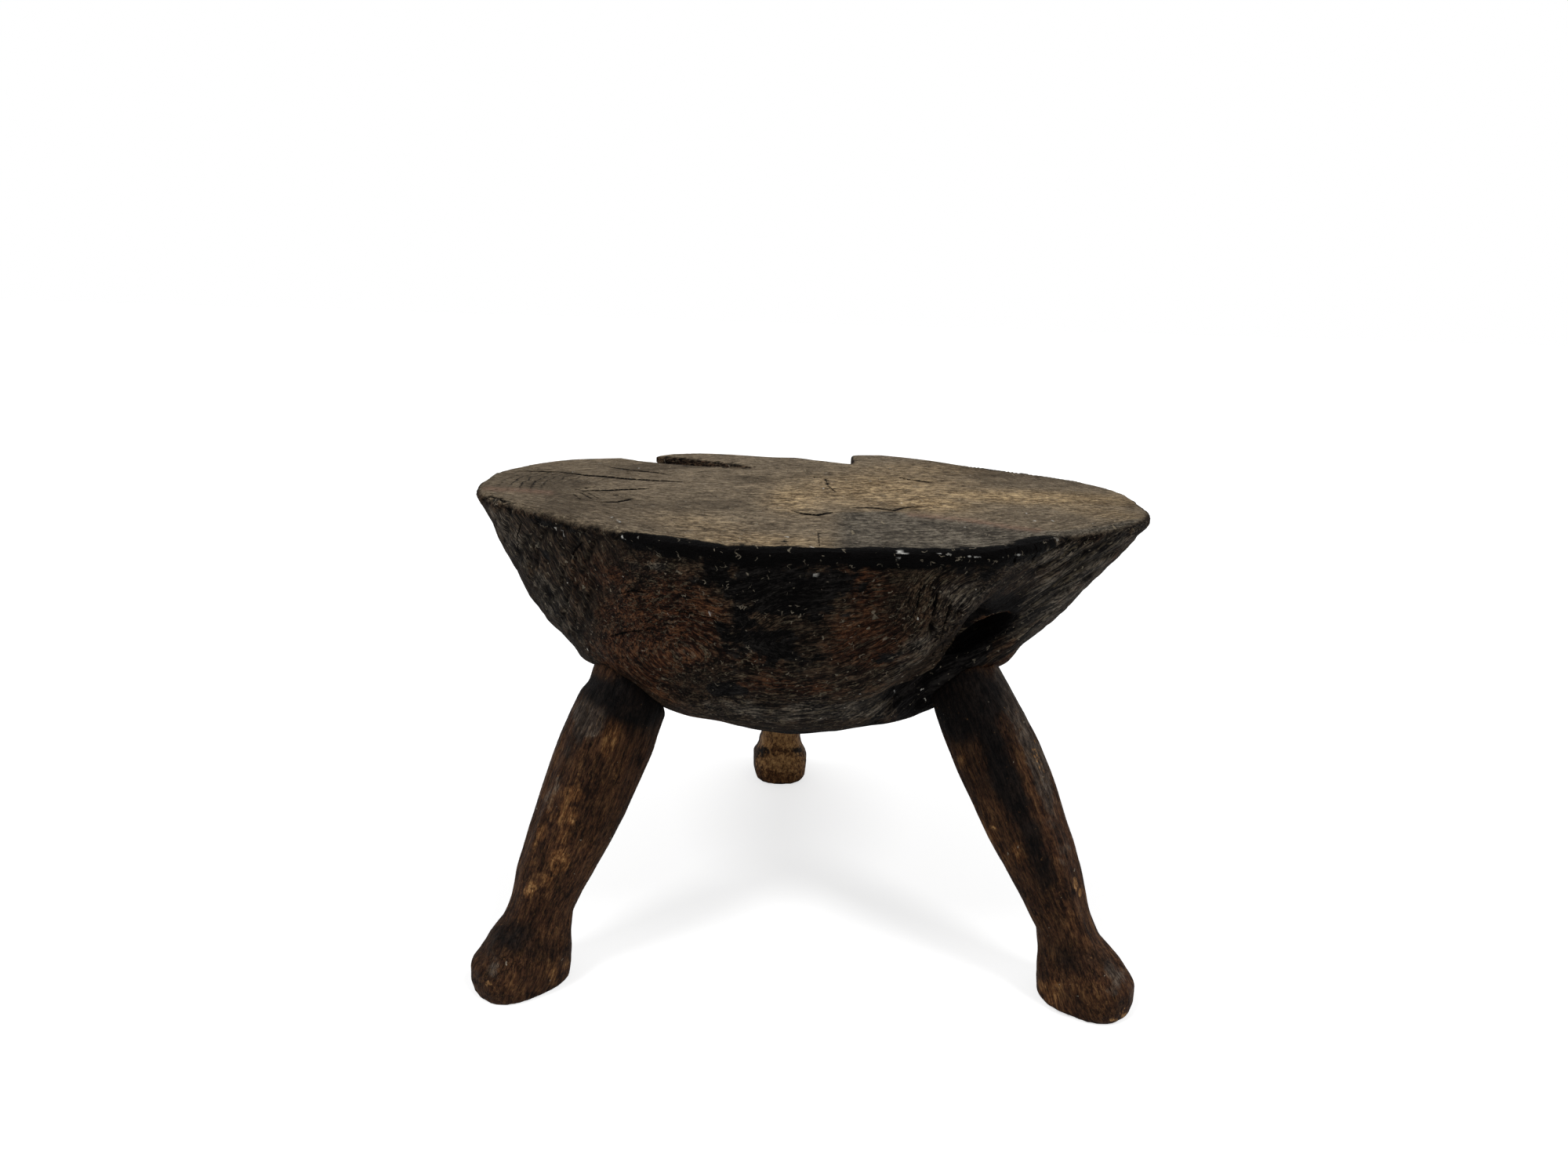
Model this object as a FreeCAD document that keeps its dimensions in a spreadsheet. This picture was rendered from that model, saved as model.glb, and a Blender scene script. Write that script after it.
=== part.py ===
import FreeCAD, Part
import math
import os
from FreeCAD import Placement, Rotation, Vector

os.makedirs("parts", exist_ok=True)
doc = FreeCAD.newDocument("three_legged_stool")

# Driving dimensions: lengths in millimetres, angles in degrees. The frame's origin is on the
# floor, under the middle of the stool's bounding box, and the seat's own middle lies ahead
# of it by seat_forward. A place on the seat or a leg is given from the seat's middle, by its
# direction from +X and by its inset: how much nearer to the middle it is than the half length.
SIZES = {
    # seat block
    "seat_height": 325.0,
    "seat_half_length": 236.0,
    "seat_forward": 37.9,
    "block_thickness": 174.0,
    "edge_drop": 3.5,
    "edge_inset": 1.8,
    # valley down the front of the block, and the hollow in it
    "valley_steep_angle": 13.0,
    "valley_gentle_angle": 26.0,
    "hollow_inset": 85.0,
    "hollow_angle": 316.7,
    "hollow_below_top": 75.0,
    "hollow_radius": 25.0,
    # long split in the rear edge
    "cleft_inset": 56.5,
    "cleft_angle": 127.8,
    "cleft_half_length": 78.0,
    "cleft_half_width": 18.5,
    "cleft_depth": 60.0,
    "cleft_run_angle": -27.0,
    # piece broken out of the rear edge, from its inner corner outward
    "notch_inset": 74.0,
    "notch_angle": 75.7,
    "notch_tip_width": 6.0,
    "notch_mouth_width": 97.0,
    "notch_reach": 70.0,
    "notch_depth": 110.0,
    # legs: the middle of each sole and of each shoulder
    "front_left_foot_inset": 12.5,
    "front_left_foot_angle": 213.5,
    "front_left_head_inset": 97.0,
    "front_left_head_angle": 206.5,
    "front_right_foot_inset": 3.0,
    "front_right_foot_angle": 326.8,
    "front_right_head_inset": 99.5,
    "front_right_head_angle": 332.9,
    "rear_foot_inset": -23.3,
    "rear_foot_angle": 93.3,
    "rear_head_inset": 96.0,
    "rear_head_angle": 93.3,
    "shoulder_below_top": 139.0,
    "shoulder_rise": 34.0,
    "leg_half_width": 31.5,
    "leg_half_breadth": 27.0,
    "ankle_height": 47.0,
    "ankle_back": 14.0,
    "ankle_half_width": 21.5,
    "ankle_half_breadth": 17.5,
    "foot_height": 21.0,
    "foot_half_length": 31.5,
    "foot_half_breadth": 24.0,
    # tenons, mortises and their wedges
    "tenon_root_radius": 17.0,
    "tenon_end_radius": 18.6,
    "tenon_length": 62.0,
    "tenon_buried": 40.0,
    "mortise_gap": 0.2,
    "mortise_end_gap": 1.0,
    "shoulder_gap": 0.3,
    "wedge_length": 38.0,
    "wedge_thick_end": 6.0,
    "wedge_thin_end": 1.0,
    "wedge_half_width": 15.0,
    "wedge_gap": 0.1,
    "kerf_run_out": 6.0,
}
LEGS = ("front_left", "front_right", "rear")

sheet = doc.addObject("Spreadsheet::Sheet", "Sizes")
for row, (alias, value) in enumerate(SIZES.items(), start=1):
    sheet.set(f"A{row}", alias.replace("_", " "))
    sheet.set(f"B{row}", str(value))
    sheet.setAlias(f"B{row}", alias)
doc.recompute()


def size(alias):
    return float(sheet.get(alias))


def bind(thing, expressions):
    """Tie properties of a document object to the sheet: $name stands for the cell called name."""
    for path, expression in expressions.items():
        thing.setExpression(path, expression.replace("$", "Sizes."))
    return thing


def placed(part, axis):
    """Expression for the X or Y, from the origin, of a place given by inset and angle."""
    reach = f"($seat_half_length - ${part}_inset)"
    if axis == "x":
        return f"({reach} * cos(${part}_angle))"
    return f"({reach} * sin(${part}_angle) - $seat_forward)"


def combine(kind, name, **links):
    thing = doc.addObject(kind, name)
    for link, value in links.items():
        setattr(thing, link, value)
    return thing


# Outline of the flat top: angle from +X in degrees (the front is at 270), then the reach from
# the seat's middle as a share of the half length.
RIM_SHARES = [
    (0, 1.002), (14, 1.010), (27, 0.975), (40, 0.908), (54, 0.930), (64, 0.970), (74, 0.992), (84, 0.860),
    (94, 0.800), (107, 0.870), (120, 0.945), (132, 0.905), (143, 0.985), (156, 1.020), (168, 1.020),
    (181, 1.000), (195, 0.975), (210, 0.900), (226, 0.876), (242, 0.900), (257, 0.932), (271, 0.915),
    (282, 0.920), (292, 0.950), (302, 0.935), (312, 0.905), (324, 0.935), (336, 0.980), (348, 1.003),
]
MEAN_REACH_SHARE = sum(reach for _, reach in RIM_SHARES) / len(RIM_SHARES)
RIM_FACETS = 2 * len(RIM_SHARES)

# Levels of the block from the top down: depth as a share of the thickness, reach as a share of
# the rim's, the share of the rim's lobes that is left, and the shift of the level's middle along
# X and Y as shares of the half length. Then the valley that parts the front lobe from the right
# wing: its depth as a share of the half length, and its direction in degrees.
LEVEL_SHARES = [
    (0.08, 0.973, 1.00, -0.002, 0.000, 0.000, 310),
    (0.18, 0.932, 1.00, -0.010, 0.000, 0.012, 310),
    (0.32, 0.874, 0.95, -0.022, 0.004, 0.050, 309),
    (0.47, 0.804, 0.85, -0.034, 0.010, 0.085, 307),
    (0.61, 0.716, 0.70, -0.044, 0.020, 0.090, 304),
    (0.74, 0.610, 0.50, -0.048, 0.034, 0.058, 300),
    (0.86, 0.475, 0.30, -0.040, 0.050, 0.015, 296),
    (0.96, 0.290, 0.10, -0.030, 0.072, 0.000, 296),
    (1.00, 0.110, 0.00, -0.026, 0.084, 0.000, 296),
]


def refined(rows):
    """The rows of a table with one more between each two, on a smooth curve through them all."""
    finer = []
    for index in range(len(rows) - 1):
        nearby = [rows[min(max(index + step, 0), len(rows) - 1)] for step in (-1, 0, 1, 2)]
        finer.append(nearby[1])
        finer.append([
            (9 * (start + end) - before - after) / 16
            for before, start, end, after in zip(*nearby)
        ])
    return [*finer, rows[-1]]


def block_outline(depth, level_shares, inset):
    """Closed outline of straight hewn facets that follow a smooth curve round one level."""
    reach_share, lobe_share, shift_x_share, shift_y_share, valley_share, valley_angle = level_shares
    half_length = size("seat_half_length")
    middle = Vector(
        half_length * shift_x_share,
        half_length * shift_y_share - size("seat_forward"),
        size("seat_height") - depth,
    )
    points = []
    for angle, rim_share in RIM_SHARES:
        share = reach_share * (lobe_share * rim_share + (1 - lobe_share) * MEAN_REACH_SHARE)
        past_valley = (angle - valley_angle + 180) % 360 - 180
        valley_spread = size("valley_steep_angle") if past_valley < 0 else size("valley_gentle_angle")
        share -= valley_share * math.exp(-((past_valley / valley_spread) ** 2))
        outward = Vector(math.cos(math.radians(angle)), math.sin(math.radians(angle)), 0)
        points.append(middle + outward * (half_length * share - inset))
    curve = Part.BSplineCurve()
    curve.interpolate(Points=points, PeriodicFlag=True)
    return Part.makePolygon(curve.toShape().discretize(RIM_FACETS + 1))


def block_loft(name, gap):
    """The whole block before anything is cut from it, grown outward and downward by a gap."""
    whole = (1, 1, 0, 0, 0, LEVEL_SHARES[0][-1])
    levels = [(size("edge_drop"), *whole)]
    for depth_share, *level_shares in LEVEL_SHARES:
        levels.append((depth_share * size("block_thickness") + gap, *level_shares))
    wires = [block_outline(0, whole, size("edge_inset") - gap)]
    for depth, *level_shares in refined(levels):
        wires.append(block_outline(depth, level_shares, -gap))
    feature = doc.addObject("Part::Feature", name)
    feature.Shape = Part.makeLoft(wires, True, True)
    return feature


# A leg above its ankle, in even steps up to the stub inside the block: thickness as a share of
# the step from the ankle's half width to the leg's.
CALF_SHARES = [0.38, 0.74, 0.93, 1.00, 0.76, 0.34]
SOLE_SHARE = 0.93

# Each leg was hewn singly: its thickness as a share of the sizes in the table.
GIRTH_SHARES = {"front_left": 1.08, "front_right": 1.00, "rear": 1.07}

# A leg's section is a square with soft corners: this power of cosine and sine shapes it.
SECTION_POWER_SHARE = 0.78
SECTION_FACETS = 16


def soft_square(half_width, half_breadth):
    corners = []
    for step in range(SECTION_FACETS):
        turn = math.tau * step / SECTION_FACETS
        across, along = math.cos(turn), math.sin(turn)
        corners.append(Vector(
            half_width * math.copysign(abs(across) ** SECTION_POWER_SHARE, across),
            half_breadth * math.copysign(abs(along) ** SECTION_POWER_SHARE, along),
            0,
        ))
    return [Part.LineSegment(start, end) for start, end in zip(corners, corners[1:] + corners[:1])]


def between(low, high, share):
    return low + (high - low) * share


def leg_place(leg, end):
    reach = size("seat_half_length") - size(f"{leg}_{end}_inset")
    turn = math.radians(size(f"{leg}_{end}_angle"))
    return reach * math.cos(turn), reach * math.sin(turn)


def leg_levels(lean_run):
    """Height, distance back from the sole's middle and the two half sizes of each section."""
    foot = (size("foot_half_length"), size("foot_half_breadth"))
    ankle = (size("ankle_half_width"), size("ankle_half_breadth"))
    calf = (size("leg_half_width"), size("leg_half_breadth"))
    ankle_height, ankle_back = size("ankle_height"), size("ankle_back")
    levels = [
        (0, 0, foot[0] * SOLE_SHARE, foot[1] * SOLE_SHARE),
        (size("foot_height"), 0, foot[0], foot[1]),
        (ankle_height, ankle_back, ankle[0], ankle[1]),
    ]
    stretch = size("seat_height") - size("shoulder_below_top") - ankle_height
    for step, width_share in enumerate(CALF_SHARES, start=1):
        rise = (stretch + size("shoulder_rise")) * step / len(CALF_SHARES)
        levels.append((
            ankle_height + rise,
            between(ankle_back, lean_run, rise / stretch),
            between(ankle[0], calf[0], width_share),
            between(ankle[1], calf[1], width_share),
        ))
    return levels


def leg_run_x(leg):
    return f"({placed(leg + '_foot', 'x')} - {placed(leg + '_head', 'x')})"


def leg_run_y(leg):
    return f"({placed(leg + '_foot', 'y')} - {placed(leg + '_head', 'y')})"


def hewn_leg(leg):
    """The leg in its own frame: sole's middle at the origin, toe along +X, then turned into place."""
    body = doc.addObject("PartDesign::Body", f"{leg}_hewn")
    floor_plane = next(plane for plane in body.Origin.OriginFeatures if plane.Role == "XY_Plane")
    sketches = []
    girth_share = GIRTH_SHARES[leg]
    lean_run = math.dist(leg_place(leg, "foot"), leg_place(leg, "head"))
    for number, (height, back, half_width, half_breadth) in enumerate(refined(leg_levels(lean_run))):
        sketch = body.newObject("Sketcher::SketchObject", f"{leg}_section_{number}")
        sketch.AttachmentSupport = [(floor_plane, "")]
        sketch.MapMode = "FlatFace"
        sketch.AttachmentOffset = Placement(Vector(-back, 0, height), Rotation())
        sketch.addGeometry(soft_square(half_width * girth_share, half_breadth * girth_share), False)
        sketches.append(sketch)
    loft = body.newObject("PartDesign::AdditiveLoft", f"{leg}_loft")
    loft.Profile = sketches[0]
    loft.Sections = sketches[1:]
    loft.Ruled = True
    bind(body, {
        "Placement.Base.x": placed(f"{leg}_foot", "x"),
        "Placement.Base.y": placed(f"{leg}_foot", "y"),
        "Placement.Rotation.Angle": f"atan2({leg_run_y(leg)}; {leg_run_x(leg)})",
    })
    return body


def along_leg(leg, distance, roll_angle):
    """Expression for a placement on a leg's axis: its Z runs up through shoulder and tenon."""
    shoulder_height = "($seat_height - $shoulder_below_top)"
    run = f"hypot({leg_run_x(leg)}; {leg_run_y(leg)})"
    turn = f"atan2({leg_run_y(leg)}; {leg_run_x(leg)})"
    lean = f"atan2({run} - $ankle_back; {shoulder_height} - $ankle_height)"
    inward = f"(sin({lean}) * ({distance}))"
    return (
        f"placement(vector("
        f"{placed(leg + '_head', 'x')} - cos({turn}) * {inward}; "
        f"{placed(leg + '_head', 'y')} - sin({turn}) * {inward}; "
        f"{shoulder_height} + cos({lean}) * ({distance})); "
        f"rotation({turn}; -({lean}); {roll_angle}))"
    )


def tenon_cone(name, leg, gap, end_gap):
    return bind(doc.addObject("Part::Cone", name), {
        "Radius1": f"$tenon_root_radius + {gap}",
        "Radius2": f"$tenon_end_radius + {gap}",
        "Height": f"$tenon_buried + $tenon_length + {end_gap}",
        "Placement": along_leg(leg, "-$tenon_buried", 0),
    })


def tenon_wedge(name, leg, gap, half_width, run_out):
    """A tapered slip whose thick end is flush with the tenon's end, grown by a gap."""
    return bind(doc.addObject("Part::Wedge", name), {
        "Xmin": f"-$wedge_thin_end / 2 - {gap}",
        "Xmax": f"$wedge_thin_end / 2 + {gap}",
        "X2min": f"-$wedge_thick_end / 2 - {gap}",
        "X2max": f"$wedge_thick_end / 2 + {gap}",
        "Ymin": f"-{run_out}",
        "Ymax": "$wedge_length",
        "Zmin": f"-{half_width}",
        "Zmax": half_width,
        "Z2min": f"-{half_width}",
        "Z2max": half_width,
        "Placement": along_leg(leg, "$tenon_length - $wedge_length", 90),
    })


nodes = []


def finished(thing, label):
    thing.Label = label
    nodes.append(thing)
    return thing


# Legs with their tenons, and the wedges that spread them
scribe_form = block_loft("scribe_form", size("shoulder_gap"))
for leg in LEGS:
    shoulder = combine("Part::Cut", f"{leg}_scribed", Base=hewn_leg(leg), Tool=scribe_form)
    tenon = tenon_cone(f"{leg}_tenon", leg, "0", "0")
    whole = combine("Part::Fuse", f"{leg}_whole", Base=shoulder, Tool=tenon)
    kerf = tenon_wedge(f"{leg}_kerf", leg, "$wedge_gap", "$tenon_end_radius", "$kerf_run_out")
    finished(combine("Part::Cut", f"{leg}_split", Base=whole, Tool=kerf), f"{leg}_leg")
    finished(tenon_wedge(f"{leg}_slip", leg, "0", "$wedge_half_width", "0"), f"{leg}_wedge")

def cleft_side(name, side):
    """One of two upright drums, on either side, whose overlap is a lens the size of the cleft."""
    radius = "(($cleft_half_length ^ 2 + $cleft_half_width ^ 2) / (2 * $cleft_half_width))"
    offset = f"({radius} - $cleft_half_width)"
    return bind(doc.addObject("Part::Cylinder", name), {
        "Radius": radius,
        "Height": "$cleft_depth + $edge_drop",
        "Placement.Base.x": f"{placed('cleft', 'x')} + ({side}{offset}) * sin($cleft_run_angle)",
        "Placement.Base.y": f"{placed('cleft', 'y')} - ({side}{offset}) * cos($cleft_run_angle)",
        "Placement.Base.z": "$seat_height - $cleft_depth",
    })


# Seat block: the hewn form less its hollow, its rear cleft and notch, and the three mortises
seat_form = block_loft("seat_form", 0)
hollow = bind(doc.addObject("Part::Sphere", "front_hollow"), {
    "Radius": "$hollow_radius",
    "Placement.Base.x": placed("hollow", "x"),
    "Placement.Base.y": placed("hollow", "y"),
    "Placement.Base.z": "$seat_height - $hollow_below_top",
})
cleft = combine(
    "Part::Common", "rear_cleft", Base=cleft_side("left_bow", ""), Tool=cleft_side("right_bow", "-")
)
notch = bind(doc.addObject("Part::Wedge", "rear_notch"), {
    "Xmin": "-$notch_tip_width",
    "Xmax": "0",
    "X2min": "-$notch_mouth_width",
    "X2max": "0",
    "Ymin": "0",
    "Ymax": "$notch_reach",
    "Zmin": "-$notch_depth",
    "Zmax": "$edge_drop",
    "Z2min": "-$notch_depth",
    "Z2max": "$edge_drop",
    "Placement":
        f"placement(vector({placed('notch', 'x')}; {placed('notch', 'y')}; $seat_height); "
        "rotation(0; 0; 0))",
})
mortises = [tenon_cone(f"{leg}_mortise", leg, "$mortise_gap", "$mortise_end_gap") for leg in LEGS]
hollows = combine("Part::MultiFuse", "hollows", Shapes=[hollow, cleft, notch, *mortises])
finished(combine("Part::Cut", "seat_hewn", Base=seat_form, Tool=hollows), "seat_block")

doc.recompute()
for thing in doc.Objects:
    if "Invalid" in thing.State or "Error" in thing.State:
        raise RuntimeError(f"{thing.Name} did not build: {thing.State}")
for node in nodes:
    if node.Shape.isNull() or not node.Shape.isValid() or len(node.Shape.Solids) != 1:
        raise RuntimeError(f"{node.Label} is not one valid solid")
for node in nodes:
    node.Shape.exportStep(f"parts/{node.Label}.step")
    box = node.Shape.BoundBox
    print(f"{node.Label}: X {box.XMin:.1f} to {box.XMax:.1f}, Y {box.YMin:.1f} to {box.YMax:.1f}, "
          f"Z {box.ZMin:.1f} to {box.ZMax:.1f}, {node.Shape.Volume / 1000:.0f} cm3")
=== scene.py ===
import math

import bmesh
import bpy
import numpy as np
from mathutils import Matrix, Vector
from mathutils.bvhtree import BVHTree
from mathutils.kdtree import KDTree


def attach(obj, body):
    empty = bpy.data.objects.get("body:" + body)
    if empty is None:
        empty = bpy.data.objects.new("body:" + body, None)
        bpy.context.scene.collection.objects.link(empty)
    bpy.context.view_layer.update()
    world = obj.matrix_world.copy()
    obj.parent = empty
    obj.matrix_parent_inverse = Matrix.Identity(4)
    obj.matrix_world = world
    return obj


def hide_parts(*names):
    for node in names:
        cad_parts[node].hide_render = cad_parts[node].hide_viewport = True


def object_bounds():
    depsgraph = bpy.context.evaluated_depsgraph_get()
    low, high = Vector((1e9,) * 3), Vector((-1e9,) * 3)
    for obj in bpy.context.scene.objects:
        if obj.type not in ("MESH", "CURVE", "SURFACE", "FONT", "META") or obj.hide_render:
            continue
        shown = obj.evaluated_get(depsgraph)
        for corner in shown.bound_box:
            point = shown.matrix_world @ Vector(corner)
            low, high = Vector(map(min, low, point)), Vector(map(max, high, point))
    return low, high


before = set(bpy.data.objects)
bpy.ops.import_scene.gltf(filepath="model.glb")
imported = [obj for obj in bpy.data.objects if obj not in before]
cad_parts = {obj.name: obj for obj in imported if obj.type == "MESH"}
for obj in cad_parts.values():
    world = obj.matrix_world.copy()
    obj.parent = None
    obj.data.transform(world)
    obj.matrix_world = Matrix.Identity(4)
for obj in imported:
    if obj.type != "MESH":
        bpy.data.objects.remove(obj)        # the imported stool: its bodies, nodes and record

cadLow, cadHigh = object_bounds()
print("stage: frame loaded")

# Camera, as measured from the photograph; spots on it are pixels of its 2000 by 1500 picture
cameraView = {
    "place": (-0.0155, -0.8786, 0.4532),
    "pitchDown": 13.5,
    "roll": 1.7,
    "lens": 27.036,
    "sensor": 36.0,
    "pictureWide": 2000,
    "pictureHigh": 1500,
}


def cameraAxes(view):
    pitch, roll = math.radians(view["pitchDown"]), math.radians(view["roll"])
    level = np.array((1.0, 0.0, 0.0))
    upright = np.array((0.0, math.sin(pitch), math.cos(pitch)))
    ahead = np.array((0.0, math.cos(pitch), -math.sin(pitch)))
    right = level * math.cos(roll) + upright * math.sin(roll)
    up = upright * math.cos(roll) - level * math.sin(roll)
    return right, up, ahead


cameraRight, cameraUp, cameraAhead = cameraAxes(cameraView)
cameraPlace = np.array(cameraView["place"])
focalPixels = cameraView["lens"] / cameraView["sensor"] * cameraView["pictureWide"]
pictureMiddle = np.array((cameraView["pictureWide"] / 2, cameraView["pictureHigh"] / 2))


def makeCamera(view):
    data = bpy.data.cameras.new("photoCamera")
    data.lens = view["lens"]
    data.sensor_width = view["sensor"]
    camera = bpy.data.objects.new("photoCamera", data)
    bpy.context.scene.collection.objects.link(camera)
    turn = Matrix((cameraRight, cameraUp, -cameraAhead)).transposed()
    camera.matrix_world = Matrix.Translation(Vector(view["place"])) @ turn.to_4x4()
    bpy.context.scene.camera = camera


makeCamera(cameraView)


def pictureSpots(places):
    seen = places - cameraPlace
    depth = seen @ cameraAhead
    return pictureMiddle + focalPixels * np.stack([seen @ cameraRight, -(seen @ cameraUp)], 1) / depth[:, None]


def landOn(tree, spot):
    # the point of a surface that shows at a pixel of the photograph, or None beside it
    across, down = np.array(spot) - pictureMiddle
    sight = cameraAhead * focalPixels + cameraRight * across - cameraUp * down
    place = tree.ray_cast(Vector(cameraPlace), Vector(sight).normalized())[0]
    return None if place is None else np.array(place)


# Smooth lattice noise from -1 to 1, the same on every run
noiseValues = {
    "strides": (73856093, 19349663, 83492791),
    "seedStride": 2654435761,
    "scramble": (2246822519, 3266489917),
    "wordMask": 0xFFFFFFFF,
}


def latticeValue(corner, seed):
    mask = noiseValues["wordMask"]
    word = np.full(len(corner), seed * noiseValues["seedStride"] & mask, np.int64)
    for axis, stride in enumerate(noiseValues["strides"]):
        word ^= (corner[:, axis] * stride) & mask
    for factor in noiseValues["scramble"]:
        word = ((word ^ (word >> 15)) * factor) & mask
    return (word ^ (word >> 13)) / mask


def softNoise(places, cell, seed, octaves=2):
    total, reach = np.zeros(len(places)), 0.0
    for octave in range(octaves):
        grid = places / np.asarray(cell) * 2 ** octave
        corner = np.floor(grid).astype(np.int64)
        part = grid - corner
        part = part * part * (3 - 2 * part)
        value = np.zeros(len(places))
        for step in np.ndindex(2, 2, 2):
            share = np.prod(np.where(np.array(step) == 1, part, 1 - part), axis=1)
            value += share * latticeValue(corner + np.array(step), seed + octave)
        total += (2 * value - 1) / 2 ** octave
        reach += 1 / 2 ** octave
    return total / reach


def adzeScallops(places, cell, seed):
    # 0 in the middle of each cut of the adze, rising to about 1 on the ridges between cuts
    grid = places / np.asarray(cell)
    corner = np.floor(grid).astype(np.int64)
    nearest = np.full(len(places), 9.0)
    for step in np.ndindex(3, 3, 3):
        near = corner + np.array(step) - 1
        spot = near + np.stack([latticeValue(near, seed + axis) for axis in range(3)], 1)
        nearest = np.minimum(nearest, np.linalg.norm(grid - spot, axis=1))
    return np.clip(nearest, 0, 1) ** 2


def ease(value, low, high):
    share = np.clip((value - low) / (high - low), 0, 1)
    return share * share * (3 - 2 * share)


def facingCamera(places, normals):
    # 1 where a surface faces the camera, 0 where it is turned away
    toCamera = cameraPlace - places
    toCamera /= np.linalg.norm(toCamera, axis=1)[:, None]
    return ease((normals * toCamera).sum(1), 0.0, 0.3)


boxMargins = (0.0002, 0.0001)


def insideBox(places):
    return np.clip(places, np.array(cadLow) + boxMargins[0], np.array(cadHigh) - boxMargins[1])


# Meshes: fine copies of the CAD nodes, ready to be carved
def fineCopy(node, name, voxel, smoothing):
    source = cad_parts[node]
    work = bmesh.new()
    work.from_mesh(source.data)
    bmesh.ops.remove_doubles(work, verts=work.verts, dist=1e-6)
    mesh = bpy.data.meshes.new(name)
    work.to_mesh(mesh)
    work.free()
    mesh.transform(source.matrix_world)
    piece = bpy.data.objects.new(name, mesh)
    bpy.context.scene.collection.objects.link(piece)
    even = piece.modifiers.new("even", "REMESH")
    even.mode = "VOXEL"
    even.voxel_size = voxel
    soft = piece.modifiers.new("soft", "SMOOTH")
    soft.factor = 0.5
    soft.iterations = smoothing
    graph = bpy.context.evaluated_depsgraph_get()
    piece.data = bpy.data.meshes.new_from_object(piece.evaluated_get(graph))
    piece.modifiers.clear()
    piece.data.name = name
    return piece


def readPoints(mesh, kind):
    values = np.empty(len(mesh.vertices) * 3)
    mesh.vertices.foreach_get(kind, values)
    return values.reshape(-1, 3)


def writePoints(mesh, places):
    mesh.vertices.foreach_set("co", places.ravel())
    mesh.update()


def surfaceTree(piece):
    mesh = piece.data
    return BVHTree.FromPolygons([v.co for v in mesh.vertices], [p.vertices for p in mesh.polygons])


def lineDistance(places, line):
    # distance to a line of points, and how far along it the nearest spot lies from 0 to 1
    line = np.asarray(line, float)
    steps = np.linalg.norm(np.diff(line, axis=0), axis=1)
    before = np.concatenate([[0], np.cumsum(steps)])
    best, along = np.full(len(places), 1e9), np.zeros(len(places))
    for start, end, length, run in zip(line[:-1], line[1:], steps, before):
        share = np.clip((places - start) @ (end - start) / length ** 2, 0, 1)
        gap = np.linalg.norm(places - start - share[:, None] * (end - start), axis=1)
        along = np.where(gap < best, (run + share * length) / before[-1], along)
        best = np.minimum(best, gap)
    return best, along


def addMask(mesh, name, parts):
    layer = mesh.attributes.new(name, "FLOAT_COLOR", "POINT")
    layer.data.foreach_set("color", np.stack(parts, 1).astype(np.float32).ravel())


def addFlow(mesh, name, along, across, side):
    layer = mesh.attributes.new(name, "FLOAT_VECTOR", "POINT")
    layer.data.foreach_set("vector", np.stack([along, across, side], 1).astype(np.float32).ravel())


def nearLine(places, line, reach):
    # the points inside a line's box, grown by a reach
    return np.where(np.all((places > line.min(0) - reach) & (places < line.max(0) + reach), axis=1))[0]


def refineNear(piece, lines, reach, rounds):
    # smaller faces along the cracks, so that they stay crisp
    work = bmesh.new()
    work.from_mesh(piece.data)
    for turn in range(rounds):
        work.verts.ensure_lookup_table()
        places = np.array([v.co for v in work.verts])
        near = np.zeros(len(places), bool)
        for line in lines:
            inside = nearLine(places, line, reach)
            near[inside[lineDistance(places[inside], line)[0] < reach / (1 + turn)]] = True
        edges = [e for e in work.edges if near[e.verts[0].index] and near[e.verts[1].index]]
        bmesh.ops.subdivide_edges(work, edges=edges, cuts=1, use_grid_fill=True)
    bmesh.ops.triangulate(work, faces=[f for f in work.faces if len(f.verts) > 4])
    work.to_mesh(piece.data)
    work.free()


def dress(piece, node, material):
    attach(piece, "root")
    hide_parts(node)
    piece.data.materials.clear()
    piece.data.materials.append(material)
    piece.data.polygons.foreach_set("use_smooth", np.ones(len(piece.data.polygons), bool))


# Materials: small helpers, then the effects that more than one wood uses
def colour(red, green, blue):
    # a colour as it is read off a screen, 0 to 255, in the renderer's own scale
    def linear(value):
        value /= 255
        return value / 12.92 if value <= 0.04045 else ((value + 0.055) / 1.055) ** 2.4
    return linear(red), linear(green), linear(blue), 1.0


def shades(*tones):
    return [colour(*tone) for tone in tones]


def addNode(tree, kind, inputs=None, **settings):
    node = tree.nodes.new(kind)
    for name, value in settings.items():
        setattr(node, name, value)
    for name, value in (inputs or {}).items():
        if isinstance(value, bpy.types.NodeSocket):
            tree.links.new(value, node.inputs[name])
        else:
            node.inputs[name].default_value = value
    return node


def calc(tree, operation, first, second=0.5):
    return addNode(tree, "ShaderNodeMath", {0: first, 1: second}, operation=operation).outputs[0]


def times(tree, first, *others):
    for other in others:
        first = calc(tree, "MULTIPLY", first, other)
    return first


def weighted(tree, *parts):
    # the sum of some values, each times its weight
    total = times(tree, *parts[0])
    for part in parts[1:]:
        total = calc(tree, "ADD", total, times(tree, *part))
    return total


def mixed(tree, share, first, second):
    # a colour mix node has its share in socket 0, its colours in 6 and 7, and its result in output 2
    return addNode(tree, "ShaderNodeMix", {0: share, 6: first, 7: second}, data_type="RGBA").outputs[2]


def paint(tree, base, tone, *shares):
    # lays a tone over the base, as strongly as the product of the shares
    return mixed(tree, times(tree, *shares), base, tone)


def noise(tree, place, scale, detail=3.0, roughness=0.55, distortion=0.0):
    node = addNode(tree, "ShaderNodeTexNoise", {
        "Vector": place, "Scale": scale, "Detail": detail, "Roughness": roughness, "Distortion": distortion,
    })
    return node.outputs["Fac"]


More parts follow.
